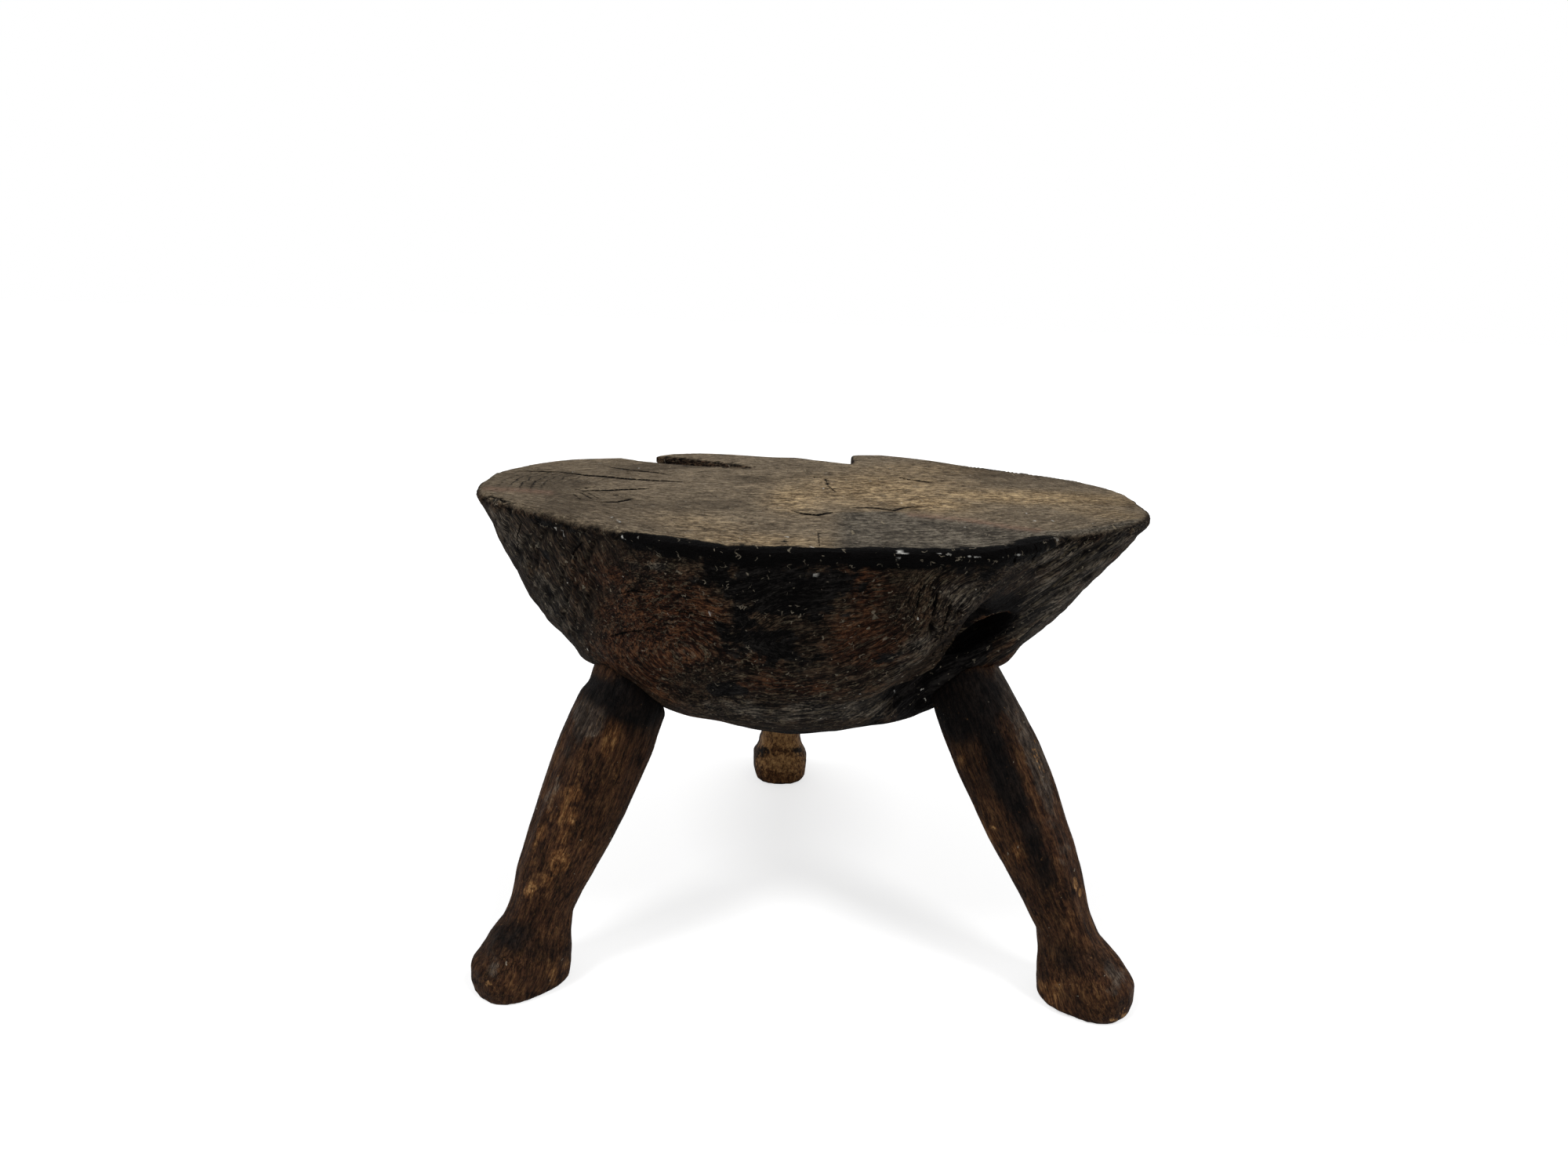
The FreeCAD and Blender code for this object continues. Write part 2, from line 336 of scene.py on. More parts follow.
def spread(tree, value, low, high, lowest=0.0, highest=1.0):
    node = addNode(tree, "ShaderNodeMapRange", {
        "Value": value, "From Min": low, "From Max": high, "To Min": lowest, "To Max": highest,
    }, interpolation_type="SMOOTHSTEP")
    return node.outputs["Result"]


def ragged(tree, mask, pattern, raggedness, low=0.36, high=0.62):
    # a mask whose soft edge breaks up along a pattern
    shift = calc(tree, "MULTIPLY", calc(tree, "SUBTRACT", pattern, 0.5), raggedness * 2.2)
    return spread(tree, calc(tree, "ADD", mask, shift), low, high)


def ramp(tree, value, stops):
    node = addNode(tree, "ShaderNodeValToRGB", {"Fac": value})
    stopsOf = node.color_ramp.elements
    for order, (position, tone) in enumerate(stops):
        stop = stopsOf[order] if order < 2 else stopsOf.new(position)
        stop.position, stop.color = position, tone
    return node.outputs["Color"]


def stretched(tree, place, by):
    return addNode(tree, "ShaderNodeVectorMath", {0: place, 1: by}, operation="MULTIPLY").outputs[0]


def splitColour(tree, value):
    return addNode(tree, "ShaderNodeSeparateColor", {"Color": value}).outputs


def channels(tree, name):
    source = addNode(tree, "ShaderNodeAttribute", attribute_name=name)
    split = splitColour(tree, source.outputs["Color"])
    return [split[n] for n in ("Red", "Green", "Blue")] + [source.outputs["Alpha"]]


def flowOf(tree, name):
    return addNode(tree, "ShaderNodeAttribute", attribute_name=name).outputs["Vector"]


def startGroup(name, vectors, numbers, made):
    # a node group with vector inputs, number inputs with their defaults, and number outputs
    tree = bpy.data.node_groups.new(name, "ShaderNodeTree")
    for label in vectors:
        tree.interface.new_socket(name=label, in_out="INPUT", socket_type="NodeSocketVector")
    for label, value in numbers.items():
        socket = tree.interface.new_socket(name=label, in_out="INPUT", socket_type="NodeSocketFloat")
        socket.default_value = value
    for label in made:
        tree.interface.new_socket(name=label, in_out="OUTPUT", socket_type="NodeSocketFloat")
    return tree, tree.nodes.new("NodeGroupInput").outputs, tree.nodes.new("NodeGroupOutput").inputs


def makeFibreGroup():
    # wood fibres along a flow: broad streaks, fine fibres, short pores, thin clefts and pale strands, which are
    # partly pale fibres and partly painted sheen on raised fibres
    defaults = {"Length": 0.05, "Width": 0.003, "Waviness": 0.3}
    finer, shorter, thinner = (3.0, 4.5, 4.5), (9.0, 4.0, 4.0), (1.9, 1.5, 1.5)
    tree, given, made = startGroup(
        "woodFibres", ["Flow"], defaults, ["Streaks", "Fibres", "Pores", "Clefts", "SheenStrands"])
    wave = calc(tree, "SUBTRACT", noise(tree, given["Flow"], 35.0, 2.0), 0.5)
    part = addNode(tree, "ShaderNodeSeparateXYZ", {"Vector": given["Flow"]}).outputs
    sway = times(tree, wave, times(tree, given["Waviness"], 0.03))
    place = addNode(tree, "ShaderNodeCombineXYZ", {
        "X": calc(tree, "DIVIDE", part["X"], given["Length"]),
        "Y": calc(tree, "DIVIDE", calc(tree, "ADD", part["Y"], sway), given["Width"]),
        "Z": calc(tree, "DIVIDE", part["Z"], given["Width"]),
    }).outputs["Vector"]
    pores = noise(tree, stretched(tree, place, shorter), 1.0, 1.0)
    tree.links.new(noise(tree, place, 1.0, 3.0, 0.6), made["Streaks"])
    tree.links.new(noise(tree, stretched(tree, place, finer), 1.0, 3.0, 0.6), made["Fibres"])
    tree.links.new(spread(tree, pores, 0.62, 0.74), made["Pores"])
    web = addNode(tree, "ShaderNodeTexNoise", {
        "Vector": stretched(tree, place, thinner), "Scale": 1.0, "Detail": 3.0, "Roughness": 0.55,
    })
    web = splitColour(tree, web.outputs["Color"])
    # a thin line runs where one channel crosses its middle, and another channel breaks it up
    for label, line, pick, width in (("Clefts", "Red", "Green", 0.085), ("SheenStrands", "Green", "Blue", 0.060)):
        gap = calc(tree, "ABSOLUTE", calc(tree, "SUBTRACT", web[line], 0.5), 0.0)
        thin = spread(tree, gap, 0.0, width, 1.0, 0.0)
        tree.links.new(times(tree, thin, spread(tree, web[pick], 0.46, 0.60)), made[label])
    return tree


def makeRingGroup():
    # growth rings: dark lines at a steady spacing outward from the pith, broken and uneven
    defaults = {"Outward": 0.0, "Spacing": 0.004, "Unevenness": 0.35}
    riseStart, peak, fallEnd = 0.60, 0.82, 0.94
    tree, given, made = startGroup("growthRings", ["Place"], defaults, ["Lines"])
    wave = calc(tree, "SUBTRACT", noise(tree, given["Place"], 60.0, 2.0), 0.5)
    wobble = times(tree, wave, given["Unevenness"], 3.0)
    count = calc(tree, "DIVIDE", given["Outward"], given["Spacing"])
    share = calc(tree, "FRACT", calc(tree, "ADD", count, wobble))
    fall = spread(tree, share, peak, fallEnd, 1.0, 0.0)
    tree.links.new(times(tree, spread(tree, share, riseStart, peak), fall), made["Lines"])
    return tree


def makeFleckGroup():
    # scattered pale flecks of lint and dust, each a short crooked mark, and longer strokes
    defaults = {"Spacing": 0.012, "Size": 0.09, "Share": 0.3}
    bendReach, markStretch = (0.006, 0.006, 0.006), (1.0, 0.45, 0.8)
    tree, given, made = startGroup("lintFlecks", ["Place"], defaults, ["Flecks", "Strokes"])
    crook = addNode(tree, "ShaderNodeTexNoise", {"Vector": given["Place"], "Scale": 260.0, "Detail": 1.0})
    bend = stretched(tree, crook.outputs["Color"], bendReach)
    place = addNode(tree, "ShaderNodeVectorMath", {0: given["Place"], 1: bend}, operation="ADD").outputs[0]
    spot = stretched(tree, stretched(tree, place, markStretch), calc(tree, "DIVIDE", 1.0, given["Spacing"]))
    cells = addNode(tree, "ShaderNodeTexVoronoi", {"Vector": spot, "Scale": 1.0, "Randomness": 1.0}).outputs
    pick = splitColour(tree, cells["Color"])
    chosen = calc(tree, "LESS_THAN", pick["Red"], given["Share"])
    width = times(tree, given["Size"], calc(tree, "ADD", pick["Green"], 0.35))
    tree.links.new(times(tree, chosen, calc(tree, "LESS_THAN", cells["Distance"], width)), made["Flecks"])
    edges = addNode(tree, "ShaderNodeTexVoronoi", {"Vector": spot, "Scale": 1.6}, feature="DISTANCE_TO_EDGE")
    thin = calc(tree, "LESS_THAN", edges.outputs["Distance"], times(tree, given["Size"], 0.45))
    where = spread(tree, noise(tree, spot, 2.9, 1.0), 0.63, 0.66)
    tree.links.new(times(tree, thin, where), made["Strokes"])
    return tree


woodFibres, growthRings, lintFlecks = makeFibreGroup(), makeRingGroup(), makeFleckGroup()


def useGroup(tree, group, inputs):
    return addNode(tree, "ShaderNodeGroup", inputs, node_tree=group).outputs


def fibresAlong(tree, flow, length, width, waviness):
    return useGroup(tree, woodFibres, {"Flow": flow, "Length": length, "Width": width, "Waviness": waviness})


def flecksAt(tree, place, spacing, size, share):
    return useGroup(tree, lintFlecks, {"Place": place, "Spacing": spacing, "Size": size, "Share": share})


def startMaterial(name):
    material = bpy.data.materials.new(name)
    material.use_nodes = True
    tree = material.node_tree
    shader = tree.nodes["Principled BSDF"]
    place = addNode(tree, "ShaderNodeTexCoord").outputs["Object"]
    return material, tree, shader, place


def bump(tree, height, strength, distance):
    inputs = {"Height": height, "Strength": strength, "Distance": distance}
    return addNode(tree, "ShaderNodeBump", inputs).outputs["Normal"]


def finishWood(tree, shader, wood, base, tone, roughSpan, relief):
    # colour, dull and shiny grain, and relief, onto the shader
    roughness = [wood["roughness"] + step for step in roughSpan]
    tree.links.new(base, shader.inputs["Base Color"])
    tree.links.new(spread(tree, tone, 0.35, 0.65, *roughness), shader.inputs["Roughness"])
    shader.inputs["Specular IOR Level"].default_value = wood["specular"]
    tree.links.new(bump(tree, relief, 1.0, wood["relief"]), shader.inputs["Normal"])


# Seat block: its shape, in metres where no note says otherwise
seatShape = {
    "voxel": 0.0027,
    "smoothing": 8,
    "topBand": (0.0055, 0.0015),    # how far below the top the flat face's own region starts, and is full
    "topUpright": (0.75, 0.97),
    "topDepth": 0.36,               # from the top's near edge to its far edge, along its grain's own measure
    "edgeDrop": 0.0018,             # the top's edge is worn round: how far down, and how far in
    "edgeWidth": 0.008,
    "edgeBand": 0.014,
    "ringBand": (0.0015, 0.0045),
    "dropBand": (-0.012, -0.002),
    "fullness": 0.0014,             # what the smoothing takes off the sides
    "waveHeight": 0.0024,
    "topWaveDepth": 0.0007,
    "scallopDepth": 0.0014,
    "scallopCell": (0.034, 0.034, 0.026),
    "scallopSeed": 21,
    "fibreDepth": 0.0008,
    "backFibreDepth": 0.00112,
    "topFibreDepth": 0.0003,
    "furrowDepth": 0.0026,
    "furrowWidth": 0.16,            # furrows and grooves: how wide a band of their noise they take
    "grooveDepth": 0.0016,
    "grooveWidth": 0.13,
    "grooveLean": 0.25,
    "ridgeLift": 0.0030,
    "ridgeWidths": (18, 3),         # pixels, left and right of the ridge
    "hollowDepth": 0.012,
    "hollowRimWidth": 26,           # pixels
    "slitWidth": 3.5,               # pixels
    "holeDepths": (0.007, 0.0012, 0.003, 0.002),    # knot, slit, pin and pit
    "crackReach": 0.0030,
    "crackWobble": 0.0006,
    "topCrackBand": 0.004,
    "dipReach": 0.010,              # how far a crack's near side dips on the top, and its far lip
    "lipReach": 0.0007,
    "lipShift": 0.0002,
    "scrapeFade": 0.0004,
    "rimInward": (0.003, 0.006),    # the blackened rim on the top: its reach, and what the front adds
    "rimReach": 0.0034,             # how far it reaches down the side
    "metresPerPixel": 0.00057,      # on the front of the block
}
# Noise on the seat: its cell in metres along the places or flow it is laid on, its seed and its octaves
seatNoise = {
    "waves": (0.055, 11, 3),
    "topWaves": (0.05, 31, 3),
    "frontFibres": ((0.03, 0.0045, 0.025), 35, 2),
    "backFibres": ((0.07, 0.05, 0.0065), 37, 2),
    "furrows": ((0.08, 0.0065, 0.018), 41, 2),
    "grooves": ((13, 60, 0.05), 45, 3),
    "topFibres": ((0.05, 0.006, 1.0), 47, 2),
    "crackWobble": (0.005, 51, 2),
    "scrapeEdge": (0.0022, 55, 2),
    "wornEdge": (0.03, 61, 2),
    "rimInward": (0.02, 65, 2),
    "rimReach": (0.014, 66, 2),
    "clouds": (0.09, 71, 3),
    "brownClouds": (0.07, 81, 2),
    "wedgeEdge": (0.02, 91, 2),
}
# Where something on the seat fades in, or out, in pixels: from the picture's left, or right of a line
seatSpans = {
    "straightGrain": (890, 1010),
    "bentGrain": (1060, 1150),
    "leftEnd": (735, 800),
    "rimStarts": (640, 880),
    "rimWidens": (700, 900),
    "rimThins": (1300, 1380),
    "rimFades": (1310, 1380),
    "wedgeStarts": (1050, 1085),
    "wing": (-10, 14),
    "recess": (-1, 6),
    "recessEnd": (14, 90),
    "recessShade": (40, 70),
    "hollowRim": (4, 16),
    "deepestShade": (-1, 2),
    "lobeGrain": (-115, -60),
    "lobeGrainEnd": (0, 12),
}
# Where the underside hangs lower, in pixels: middle, half widths, tilt in degrees, height in metres
seatSwells = [(860, 902, 44, 26, 20, 0.0035), (1165, 902, 60, 30, -20, 0.004), (742, 846, 26, 20, 35, 0.0032),
    (1284, 846, 24, 18, -38, 0.0026)]

# The front of the block, traced in pixels of the photograph
lobeRidge = [(1262, 764), (1248, 769), (1234, 780), (1226, 794), (1220, 808), (1207, 827), (1190, 847),
             (1168, 861), (1134, 876), (1107, 891), (1073, 905)]
hollowRim = [(1300, 772), (1302, 800), (1275, 826), (1238, 846), (1205, 862)]
wingFlow = ((1460, 690), (1150, 880))
leftFlow = (0.5, 0.87)
leftGrainEnd = 860
leftEndLevel = 760
swirlMiddle = (866, 832)
bendMiddle, bendRadius = 1130, 840
wingEdge = [(1330, 690), (1262, 764), (1190, 850), (1100, 905)]
# Holes: middle and half widths
knotHole = ((1191, 804), 4.2, 9)
slitKnot = [(1214, 795), (1211, 803), (1208, 811)]
pinHole = ((1327, 724), 2.6, 2.6)
rimPit = ((1386, 706), 5, 5)

# Cracks on the seat: half width and depth in metres, then the pixels that they run through
seatCracks = [
    (0.0013, 0.0009, [(714, 601), (735, 603.5), (756, 606), (777, 607.5), (798, 609.5), (835, 612), (871, 614)]),
    (0.0008, 0.0006, [(668, 600), (690, 600.5), (714, 601)]),
    (0.0010, 0.0007, [(774, 594), (799, 598), (828, 601), (856, 604.5)]),
    (0.0011, 0.0008, [(734, 624), (747, 621.5), (760, 619.5)]),
    (0.0012, 0.0008, [(743, 625), (776, 624), (805, 623), (829, 622)]),
    (0.0010, 0.0007, [(768, 639.5), (788, 639), (808, 635)]),
    (0.0008, 0.0006, [(781, 630), (789, 631)]),
    (0.0006, 0.0003, [(731, 629), (741, 637)]),
    (0.0006, 0.0003, [(738, 626), (747, 631), (756, 636)]),
    (0.0006, 0.0003, [(744, 625), (763, 634.5)]),
    (0.0011, 0.0009, [(618, 636), (623, 632), (636, 634), (645, 639)]),
    (0.0013, 0.0009, [(1013, 651.5), (1026, 654.5), (1043, 656), (1062, 652.5)]),
    (0.0010, 0.0007, [(1088, 646.5), (1116, 647), (1141, 650), (1151, 647), (1171, 645)]),
    (0.0013, 0.0009, [(1147, 608), (1156, 610), (1164, 611.5)]),
    (0.0011, 0.0008, [(1164, 611.5), (1188, 614)]),
    (0.0006, 0.0006, [(1053, 609.5), (1055, 617), (1060, 622), (1065, 626)]),
    (0.0007, 0.0010, [(1038, 606.5), (1039, 609.5)]),
    (0.0003, 0.0004, [(1043.5, 672), (1045, 697)]),
    (0.0009, 0.0022, [(1313, 692), (1318, 697), (1317, 707), (1317, 719)]),
    (0.0007, 0.0018, [(1292, 694), (1296, 699), (1292, 709), (1293, 719)]),
    (0.0007, 0.0014, [(860, 779), (885, 782), (912, 788)]),
    (0.0006, 0.0010, [(775, 812), (800, 806), (830, 802)]),
    (0.0006, 0.0010, [(790, 757), (808, 753), (827, 755)]),
    (0.0006, 0.0014, [(1215, 790), (1208, 801), (1205, 812)]),
    (0.0006, 0.0012, [(1219, 792), (1214, 803), (1209, 813)]),
    (0.0007, 0.0014, [(1206, 815), (1200, 830), (1188, 843)]),
    (0.0008, 0.0016, [(1197, 756), (1193, 772), (1190, 786)]),
    (0.0007, 0.0014, [(1213, 768), (1206, 789), (1199, 812), (1189, 836)]),
    (0.0006, 0.0012, [(1226, 768), (1217, 784)]),
    (0.0007, 0.0012, [(1184, 850), (1162, 868), (1133, 882)]),
    (0.0006, 0.0010, [(1176, 742), (1172, 766), (1166, 790)]),
    (0.0006, 0.0010, [(1120, 886), (1085, 894), (1040, 897)]),
    (0.0006, 0.0010, [(1010, 889), (975, 893), (940, 888)]),
    (0.0005, 0.0008, [(664, 668), (659, 684), (660, 702)]),
    (0.0005, 0.0010, [(742, 692), (733, 702), (728, 716)]),
    (0.0006, 0.0010, [(754, 822), (760, 842), (772, 858)]),
    (0.0006, 0.0010, [(1370, 760), (1320, 800), (1275, 836)]),
    (0.0006, 0.0010, [(1404, 716), (1362, 745), (1316, 776)]),
]

# White scrapes on the rim and strands of lint: half width in metres, then pixels as above
paleMarks = [
    (0.0010, [(1147, 701), (1149, 710)]),
    (0.0007, [(1150, 703), (1152, 704)]),
    (0.0003, [(1190, 703), (1201, 703.5)]),
    (0.0003, [(1236, 706.5), (1250, 707.5)]),
    (0.0003, [(1292, 704.5), (1300, 704)]),
    (0.0004, [(792, 680), (795, 687)]),
    (0.0003, [(717, 679), (720, 684)]),
    (0.0005, [(1037, 727), (1039, 736)]),
    (0.0003, [(787, 662), (791, 665)]),
    (0.0004, [(1144, 886), (1148, 895)]),
    (0.0004, [(852, 781), (856, 786)]),
    (0.0004, [(905, 776), (907, 784)]),
]

# Drying cracks on the sides that the photograph doesn't show: half width, depth, then degrees round and height
hiddenCracks = [
    (0.0016, 0.0050, [(62, 0.322), (63, 0.300), (61, 0.270), (64, 0.235)]),
    (0.0009, 0.0024, [(74, 0.322), (75, 0.305), (73, 0.288)]),
    (0.0012, 0.0036, [(118, 0.300), (121, 0.270), (119, 0.240), (123, 0.215)]),
    (0.0009, 0.0024, [(20, 0.318), (22, 0.300), (19, 0.276), (21, 0.255)]),
    (0.0010, 0.0024, [(160, 0.300), (163, 0.275), (161, 0.250)]),
    (0.0008, 0.0020, [(92, 0.250), (100, 0.238), (108, 0.236), (116, 0.228)]),
]


def landFrom(tree, degrees, height):
    # the point of the block's side at a height, in a direction round its middle
    turn = math.radians(degrees)
    outward = Vector((math.cos(turn), math.sin(turn), 0.0))
    return tree.ray_cast(outward * 0.5 + Vector((0.0, 0.0, height)), -outward)[0]


def nearestGap(places, ring):
    # distance to the nearest of some points, seen from above
    tree = KDTree(len(ring))
    for order, spot in enumerate(ring):
        tree.insert((spot[0], spot[1], 0.0), order)
    tree.balance()
    return np.array([tree.find((x, y, 0.0))[2] for x, y in places[:, :2]])


def smoothPart(mesh, places, mask, rounds):
    # evens out the part of a surface that a mask picks
    pairs = np.empty(len(mesh.edges) * 2, np.int64)
    mesh.edges.foreach_get("vertices", pairs)
    pairs = pairs.reshape(-1, 2)
    pairs = pairs[mask[pairs].max(1) > 0.01]
    picked, index = np.unique(pairs, return_inverse=True)
    index = index.reshape(-1, 2)
    ends = np.concatenate([index[:, 0], index[:, 1]])
    others = np.concatenate([index[:, 1], index[:, 0]])
    count = np.bincount(ends, minlength=len(picked))
    moved, share = places[picked], mask[picked][:, None]
    for _ in range(rounds):
        sums = [np.bincount(ends, moved[others, axis], len(picked)) for axis in range(3)]
        mean = np.stack(sums, 1) / count[:, None]
        moved = moved + share * 0.6 * (mean - moved)
    places = places.copy()
    places[picked] = moved
    return places


def rightOf(spots, line):
    # distance in pixels from a line that runs downwards: above 0 to the right of it
    gap, run = lineDistance(spots, line)
    line = np.array(line, float)
    order = np.argsort(line[:, 1])
    across = spots[:, 0] - np.interp(spots[:, 1], line[order, 1], line[order, 0])
    return np.where(across > 0, gap, -gap), run


def seatFlows(places, spots, outline, values):
    # how the grain runs on the top, on the front and on the wing: along it, across it and into it
    low, high = (np.interp(places[:, 0], outline[0], outline[side]) for side in (1, 2))
    share = (places[:, 1] - low) / (high - low)
    flows = {"topFlow": (places[:, 0], share * values["topDepth"], places[:, 2])}
    metresPerPixel = values["metresPerPixel"]
    x, y = ((spots - np.array(swirlMiddle)) * metresPerPixel).T
    oval = np.sqrt((x * 0.62) ** 2 + y ** 2 + 0.012 ** 2)
    straighter = ease(spots[:, 0], *seatSpans["straightGrain"])
    bent = (spots[:, 0] - bendMiddle) ** 2 / bendRadius * metresPerPixel
    bent *= ease(spots[:, 0], *seatSpans["bentGrain"])
    straight = np.abs(y + 0.10 * x) + bent
    flows["frontFlow"] = (x + 0.3 * y, oval * (1 - straighter) + straight * straighter, places[:, 1] * 0.5)
    ridgeSide, ridgeRun = rightOf(spots, lobeRidge)
    # the left end's grain runs down along its outline, in the same attribute as the ridge's
    leftEnd = spots[:, 0] < leftGrainEnd
    downLeft = np.array(leftFlow) / np.linalg.norm(leftFlow)
    leftAlong, leftAcross = spots @ downLeft, spots @ np.array((downLeft[1], -downLeft[0]))
    flows["ridgeFlow"] = (
        np.where(leftEnd, leftAlong * metresPerPixel, ridgeRun * 0.13),
        np.where(leftEnd, leftAcross, ridgeSide) * metresPerPixel,
        places[:, 1] * 0.5,
    )
    start, end = (np.array(p, float) for p in wingFlow)
    run = (end - start) / np.linalg.norm(end - start)
    fromWing = (spots - end) * metresPerPixel
    flows["wingFlow"] = (fromWing @ run, fromWing @ np.array((-run[1], run[0])), places[:, 1] * 0.3)
    return flows


def topOutline(places, count):
    # nearest and farthest edge of the top, at steps from left to right
    top = places[places[:, 2] > cadHigh.z - 0.003]
    steps = np.linspace(top[:, 0].min(), top[:, 0].max(), count + 1)
    middles = (steps[1:] + steps[:-1]) / 2
    inside = [top[(top[:, 0] >= low) & (top[:, 0] <= high), 1] for low, high in zip(steps[:-1], steps[1:])]
    even = np.ones(9) / 9
    edges = (np.pad([pick(y) for y in inside], 4, "edge") for pick in (np.min, np.max))
    near, far = (np.convolve(edge, even, "valid") for edge in edges)
    return middles, near, far


def cutLines(tree, values):
    # the cracks as lines of points on the surface
    cuts = []
    for width, depth, spots in values:
        line = [landOn(tree, spot) for spot in spots]
        cuts.append((width, depth, [place for place in line if place is not None]))
    return [(width, depth, np.array(line)) for width, depth, line in cuts if len(line) > 1]


def cutCracks(places, cracks, values):
    # how deep the cracks cut into the surface, and how dark their painted shade is
    depths, mask = np.zeros(len(places)), np.zeros(len(places))
    for width, depth, line in cracks:
        inside = nearLine(places, line, values["dipReach"])
        near = places[inside]
        wobble = values["crackWobble"] * softNoise(near, *seatNoise["crackWobble"])
        gap, run = lineDistance(near, line)
        wide = width * (0.35 + 0.65 * np.sqrt(np.clip(np.sin(np.pi * run), 0, 1)))
        cut = np.clip(1.6 * (1 - np.abs(gap + wobble) / wide), 0, 1)
        dark = np.clip(cut * 4, 0, 1)
        onTop = line[:, 2].min() > cadHigh.z - values["topCrackBand"]
        if onTop and np.ptp(line[:, 0]) > np.ptp(line[:, 1]):
            # on the top the far lip stands up, and the near side dips to it
            order = np.argsort(line[:, 0])
            nearer = np.interp(near[:, 0], line[order, 0], line[order, 1]) - near[:, 1] + wobble
            nearer = np.where(nearer > 0, gap, -gap)
            dip = np.where(nearer > 0, 1 - nearer / values["dipReach"], 1 + nearer / values["lipReach"])
            cut = np.clip(dip, 0, 1) * wide / width
            # painted shade along the far lip, whose wall faces the camera
            dark = np.clip(1.8 - np.abs(nearer + values["lipShift"]) / (wide * 0.6), 0, 1)
        depths[inside] += depth * cut
        mask[inside] = np.maximum(mask[inside], dark)
    return depths, mask


def scrapeMask(places, marks, values):
    mask = np.zeros(len(places))
    for width, _, line in marks:
        edge = width * (0.45 + 2.6 * softNoise(places, *seatNoise["scrapeEdge"]))
        gap = lineDistance(places, line)[0]
        mask = np.maximum(mask, np.clip((edge - gap) / values["scrapeFade"] + 0.5, 0, 1))
    return mask


def wearRim(places, normals, spots, across, side, values):
    # how far the top's worn edge drops, and where the rim is blackened
    below = cadHigh.z - places[:, 2]
    nearTop = np.where(below < values["edgeBand"])[0]
    low, high = values["ringBand"]
    ring = places[(below < high) & (below > low) & (normals[:, 2] < 0.8)]
    edgeGap = np.full(len(places), 1.0)
    edgeGap[nearTop] = nearestGap(places[nearTop], ring)
    nearness = 1 - ease(across, 0.40, 0.62)
    worn = np.clip(1 - edgeGap / values["edgeWidth"], 0, 1) ** 2
    worn *= (0.7 + 0.5 * softNoise(places, *seatNoise["wornEdge"])) * (0.4 + 0.6 * nearness)
    drop = values["edgeDrop"] * worn * ease(-below, *values["dropBand"])
    thin, thick = values["rimInward"]
    thick *= ease(spots[:, 0], *seatSpans["rimWidens"]) * (1 - ease(spots[:, 0], *seatSpans["rimThins"]))
    reach = thin + thick
    reach *= 1 + 0.5 * softNoise(places, *seatNoise["rimInward"])
    onTop = np.exp(-(edgeGap / reach) ** 4) * (0.25 + 0.75 * nearness)
    sideReach = values["rimReach"] * (1 + 0.7 * softNoise(places, *seatNoise["rimReach"]))
    onSide = np.exp(-(below / sideReach) ** 2) * side * (0.5 + 0.5 * nearness)
    rim = np.maximum(onTop * ease(below, 0.02, 0.0), onSide)
    rim *= ease(spots[:, 0], *seatSpans["rimStarts"]) * (1 - 0.75 * ease(spots[:, 0], *seatSpans["rimFades"]))
    return drop, rim


def pitMask(spots, middle, wide, high):
    offset = spots - np.array(middle)
    return np.exp(-((offset[:, 0] / wide) ** 2 + (offset[:, 1] / high) ** 2))


